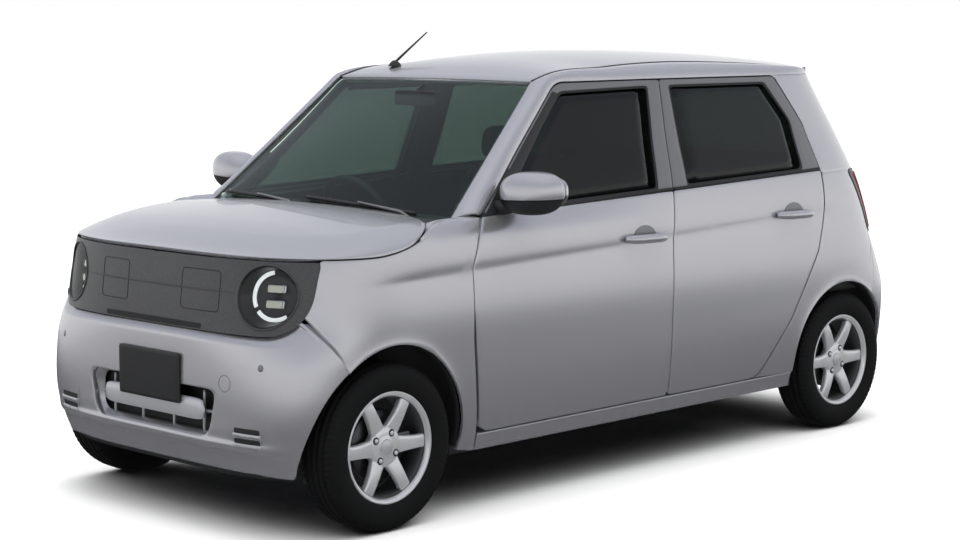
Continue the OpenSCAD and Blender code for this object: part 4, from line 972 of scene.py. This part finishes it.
def wheel_set(x, s, place):
    """One wheel about its axle: tyre, rim, barrel, spokes, hub, cap, lugs and brake disc."""
    body = f"wheel_{place}"
    centre = np.array([x, s * TRACK / 2, TYRE_R])
    turn = np.array([1.0, s, 1.0])
    axis = (0, s, 0)
    tyre = panel(f"tyre_{place}_rubber", tread_grid() * turn + centre, body, RUBBER, 0, True, 0, centre)
    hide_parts(f"tyre_{place}")
    rim = [[170, 46], [176, 56], [183, 60], [186, 63], [185, 66], [180, 66], [174, 62], [168, 52]]
    rim = turned(f"rim_{place}", rim, centre, axis, body, ALLOY, 96, True)
    # The barrel inside the rim is coloured with painted shade
    barrel = [[178, -58], [172, -52], [164, -40], [160, 0], [163, 34], [170, 47], [168, 52], [160, 40],
              [157, 0], [160, -40], [166, -58]]
    turned(f"barrel_{place}", barrel, centre, axis, body, BARREL_SHADE, 96, True)
    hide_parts(f"wheel_{place}")
    ang = circle(SPOKES)[:, None, None]
    r, out, across = np.moveaxis(spoke_points(), -1, 0)
    spokes = np.stack(np.broadcast_arrays(r * np.cos(ang) - across * np.sin(ang), out,
                                          r * np.sin(ang) + across * np.cos(ang)), -1)
    one = grid_faces(*r.shape, False, True)
    faces = np.concatenate([one + k * r.size for k in range(SPOKES)])
    faces = faces[:, ::-1] if s > 0 else faces
    mesh_piece(f"spokes_{place}", spokes * turn + centre, faces, body, ALLOY)
    hub = [[0.2, 47], [24, 47], [30, 44.5], [44, 44], [62, 43], [68, 38], [70, 24], [66, 10], [0.2, 8]]
    turned(f"hub_{place}", hub, centre, axis, body, ALLOY, 64)
    cap = [[0.2, 52], [20, 51.5], [25.5, 49], [27, 44], [0.2, 43]]
    turned(f"cap_{place}", cap, centre, axis, body, WHEEL_CAP, 48)
    # Lug wells: black discs round the nuts, painted shade in their recesses
    well = [[0.2, 44.6], [11, 44.6], [12.5, 44.2], [13, 43], [0.2, 42]]
    nut = [[0.2, 50], [5, 49.5], [7.5, 47], [8, 43.5], [0.2, 43]]
    for k, a in enumerate(np.radians([30, 120, 210, 300])):
        at = centre + np.array([50 * np.cos(a), 0, 50 * np.sin(a)])
        turned(f"lug_well_{place}_{k}", well, at, axis, body, SEAL, 24)
        turned(f"lug_nut_{place}_{k}", nut, at, axis, body, ALLOY, 12)
    disc = [[40, 4], [116, 4], [117, 2], [117, -12], [116, -14], [40, -14]]
    turned(f"disc_{place}", disc, centre, axis, body, DISC, 72, True)


for side, s in SIDES:
    wheel_set(AXLE_F, s, f"front_{side}")
    wheel_set(AXLE_R, s, f"rear_{side}")
    for name, x, inner in (("front", AXLE_F, 390.0), ("rear", AXLE_R, 470.0)):
        a = np.radians(np.linspace(-8, 188, 80))[None]
        r = 321 + 18 * (name == "front") * np.sin(np.clip((np.degrees(a) - 55) / 135, 0, 1) * np.pi)
        lx, lz = x + r * np.cos(a), TYRE_R + r * np.sin(a)
        y = mix(inner, side_y(lx, lz) - 14, column(0, 1, 12))
        liner = np.stack(np.broadcast_arrays(lx, y, lz), -1)
        panel(f"arch_liner_{name}_{side}", flip(liner, s), "body", SEAL, 3, False, 0, (x, 500 * s, 2000))


# Cabin

def pad(name, centre, half, tilt, look, soft=0.5):
    """Stuffed block: a superellipsoid with soft edges, tipped back about the car's cross axis."""
    a = column(-np.pi / 2, np.pi / 2, 41)
    b = circle(80)[None]
    p = np.stack([half[0] * power(np.cos(a), soft) * power(np.cos(b), soft),
                  half[1] * power(np.cos(a), soft) * power(np.sin(b), soft),
                  half[2] * power(np.sin(a), soft) + 0 * b], -1)
    c, q = math.cos(math.radians(tilt)), math.sin(math.radians(tilt))
    p = np.stack([p[..., 0] * c - p[..., 2] * q, p[..., 1], p[..., 0] * q + p[..., 2] * c], -1)
    obj = panel(name, p + np.array(centre, float), "body", look, 0, True, 0, centre)
    return obj


for side, s in SIDES:
    y = 320 * s
    first = pad(f"front_seat_{side}_cushion", (40, y, 470), (258, 232, 62), 4, CLOTH)
    if s > 0:
        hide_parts("front_seats")
    pad(f"front_seat_{side}_back", (-292, y, 796), (62, 225, 282), 12, CLOTH)
    pad(f"front_seat_{side}_headrest", (-356, y, 1158), (44, 122, 72), 6, CLOTH_SIDE, 0.6)
bench = pad("rear_seat_cushion", (-850, 0, 606), (240, 515, 58), 3, CLOTH, 0.4)
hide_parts("rear_seat")
pad("rear_seat_back", (-1180, 0, 860), (58, 515, 225), 14, CLOTH, 0.4)
x, u = column(368, -1200, 40), row(-1, 1, 21)
y = 492 * u + 0 * x
panel("headliner", np.stack([x + 0 * y, y, roof_at(x, y) - 24], -1), "body", LINER, 4, False, 0)
y, z = fill(oblong(-110, 110, -28, 28, 18), 5, 80)
panel("inner_mirror", np.stack([470 + 0 * y, y, 1372 + z], -1), "body", BLACK, 14, True, 3, (300, 0, 1372))
tube("inner_mirror_stem", [[462, 0, 1376], [452, 0, 1398], [424, 0, 1418]], 8, "body", BLACK, 10)
for side, s in SIDES:
    x, z = row(-1118, -1490, 40), column(560, TAIL_LAMP_TOP, 30)
    panel(f"cargo_trim_{side}", flip(on_side(x, z, 46), s), "body", TRIM, 4, False, 0)
    arm = [[-1226, 300, 1474], [-1250, 300, 1456], [-1330, 300, 1432]]
    tube(f"tailgate_hinge_{side}", flip(dense(arm, 14, False), s), 9, "tailgate", STEEL, 12)
# Engine bay: a tray that hangs from the bonnet's edge
loop = np.vstack([bonnet_rim(), bonnet_grid()[-1, ::-1]])
inset = np.array([0.985, 0.84, 0.82, 0.5, 0.004])[:, None, None]
tray = np.array([1200, 0, 0]) + inset * (loop - [1200, 0, 0])
tray[..., 2] = loop[:, 2] - np.array([[15], [17], [150], [170], [170]])
tray[2:, :, 2] = mix(tray[2:, :, 2], 775, np.array([[0.3], [0.9], [1.0]]))
panel("bay_tray", tray, "body", BLACK, 4, True, 0, (1200, 0, -3000))

# Stage, light and camera. Reflections see the floor as a glow with painted shade, darker near the car
PALE, tree, out = blank("pale_studio_floor")
ray = node(tree, "ShaderNodeLightPath")
bright = node(tree, "ShaderNodeBsdfDiffuse", sockets={"Color": rgb("#fbfbfb")})
spot = node(tree, "ShaderNodeNewGeometry")
# Painted shade for reflections: the floor's glow changes from grey near the car to white far away
reach = node(tree, "ShaderNodeVectorMath", {0: spot.outputs["Position"]}, operation="LENGTH")
far = node(tree, "ShaderNodeMapRange", {"Value": reach.outputs["Value"]}, {"From Min": 3.3, "From Max": 8.5},
           interpolation_type="SMOOTHSTEP")
shade = node(tree, "ShaderNodeMix", {0: far.outputs["Result"]}, data_type="RGBA")
shade.inputs[6].default_value = rgb("#5c5c60")
shade.inputs[7].default_value = rgb("#fbfbfb")
dull = node(tree, "ShaderNodeEmission", {"Color": shade.outputs[2]})
both = node(tree, "ShaderNodeMixShader", {0: ray.outputs["Is Glossy Ray"], 1: bright.outputs[0],
                                          2: dull.outputs[0]})
tree.links.new(both.outputs[0], out.inputs["Surface"])
floor = bpy.data.meshes.new("floor")
floor.from_pydata([(-60, -60, -0.001), (60, -60, -0.001), (60, 60, -0.001), (-60, 60, -0.001)], [],
                  [(0, 1, 2, 3)])
floor.materials.append(PALE)
floor = bpy.data.objects.new("floor", floor)
bpy.context.scene.collection.objects.link(floor)


def softbox(name, place, target, size, watts):
    """A soft area light that looks at a point."""
    light = bpy.data.lights.new(name, "AREA")
    light.shape = "RECTANGLE"
    light.size, light.size_y = size
    light.energy = watts
    obj = bpy.data.objects.new(name, light)
    bpy.context.scene.collection.objects.link(obj)
    back = np.array(place, float) - np.array(target, float)
    obj.location = place
    obj.rotation_euler = (math.atan2(math.hypot(back[0], back[1]), back[2]), 0,
                          math.atan2(back[1], back[0]) + math.pi / 2)
    obj.visible_glossy = False


softbox("overhead", (0.3, 0.3, 6.0), (0, 0, 0.5), (7, 5), 150)

world = bpy.data.worlds.new("studio")
world.use_nodes = True
bpy.context.scene.world = world
wt = world.node_tree
wt.nodes.clear()
path = node(wt, "ShaderNodeLightPath")
shown = node(wt, "ShaderNodeBackground", sockets={"Color": (1, 1, 1, 1), "Strength": 1.0})
where = node(wt, "ShaderNodeTexCoord")
height = node(wt, "ShaderNodeSeparateXYZ", {"Vector": where.outputs["Generated"]}).outputs["Z"]


def dome(low, high, strength, start=0.0, end=1.0):
    """Light from the sky that changes from a low colour to a high one between two heights."""
    rise = node(wt, "ShaderNodeMapRange", {"Value": height}, {"From Min": start, "From Max": end})
    ramp = node(wt, "ShaderNodeValToRGB", {"Fac": rise.outputs["Result"]})
    ramp.color_ramp.elements[0].color = rgb(low)
    ramp.color_ramp.elements[1].color = rgb(high)
    return node(wt, "ShaderNodeBackground", {"Color": ramp.outputs["Color"]},
                {"Strength": strength}).outputs[0]


# Shiny surfaces see one sky and matt ones another; the camera sees white
matt_sky = dome("#020202", "#ffffff", 3.0, 0.4)
shiny_sky = dome("#ffffff", "#b9bdca", 1.0, 0.04, 0.5)
soft = node(wt, "ShaderNodeMixShader", {0: path.outputs["Is Glossy Ray"], 1: matt_sky, 2: shiny_sky})
pick = node(wt, "ShaderNodeMixShader", {0: path.outputs["Is Camera Ray"], 1: soft.outputs[0],
                                        2: shown.outputs[0]})
wt.links.new(pick.outputs[0], node(wt, "ShaderNodeOutputWorld").inputs["Surface"])

# Camera fitted to the photo
camera = bpy.data.cameras.new("photo_camera")
camera.sensor_width = 36
camera.lens = 78.34
camera.shift_x = 0.0114
camera.shift_y = -0.0057
camera.clip_end = 200
eye = bpy.data.objects.new("photo_camera", camera)
eye.location = (5.8183, 5.5945, 1.6504)
eye.rotation_euler = (math.radians(83.383), 0, math.radians(134.79))
bpy.context.scene.collection.objects.link(eye)
bpy.context.scene.camera = eye
bpy.context.scene.view_settings.view_transform = "Standard"
bpy.context.view_layer.update()
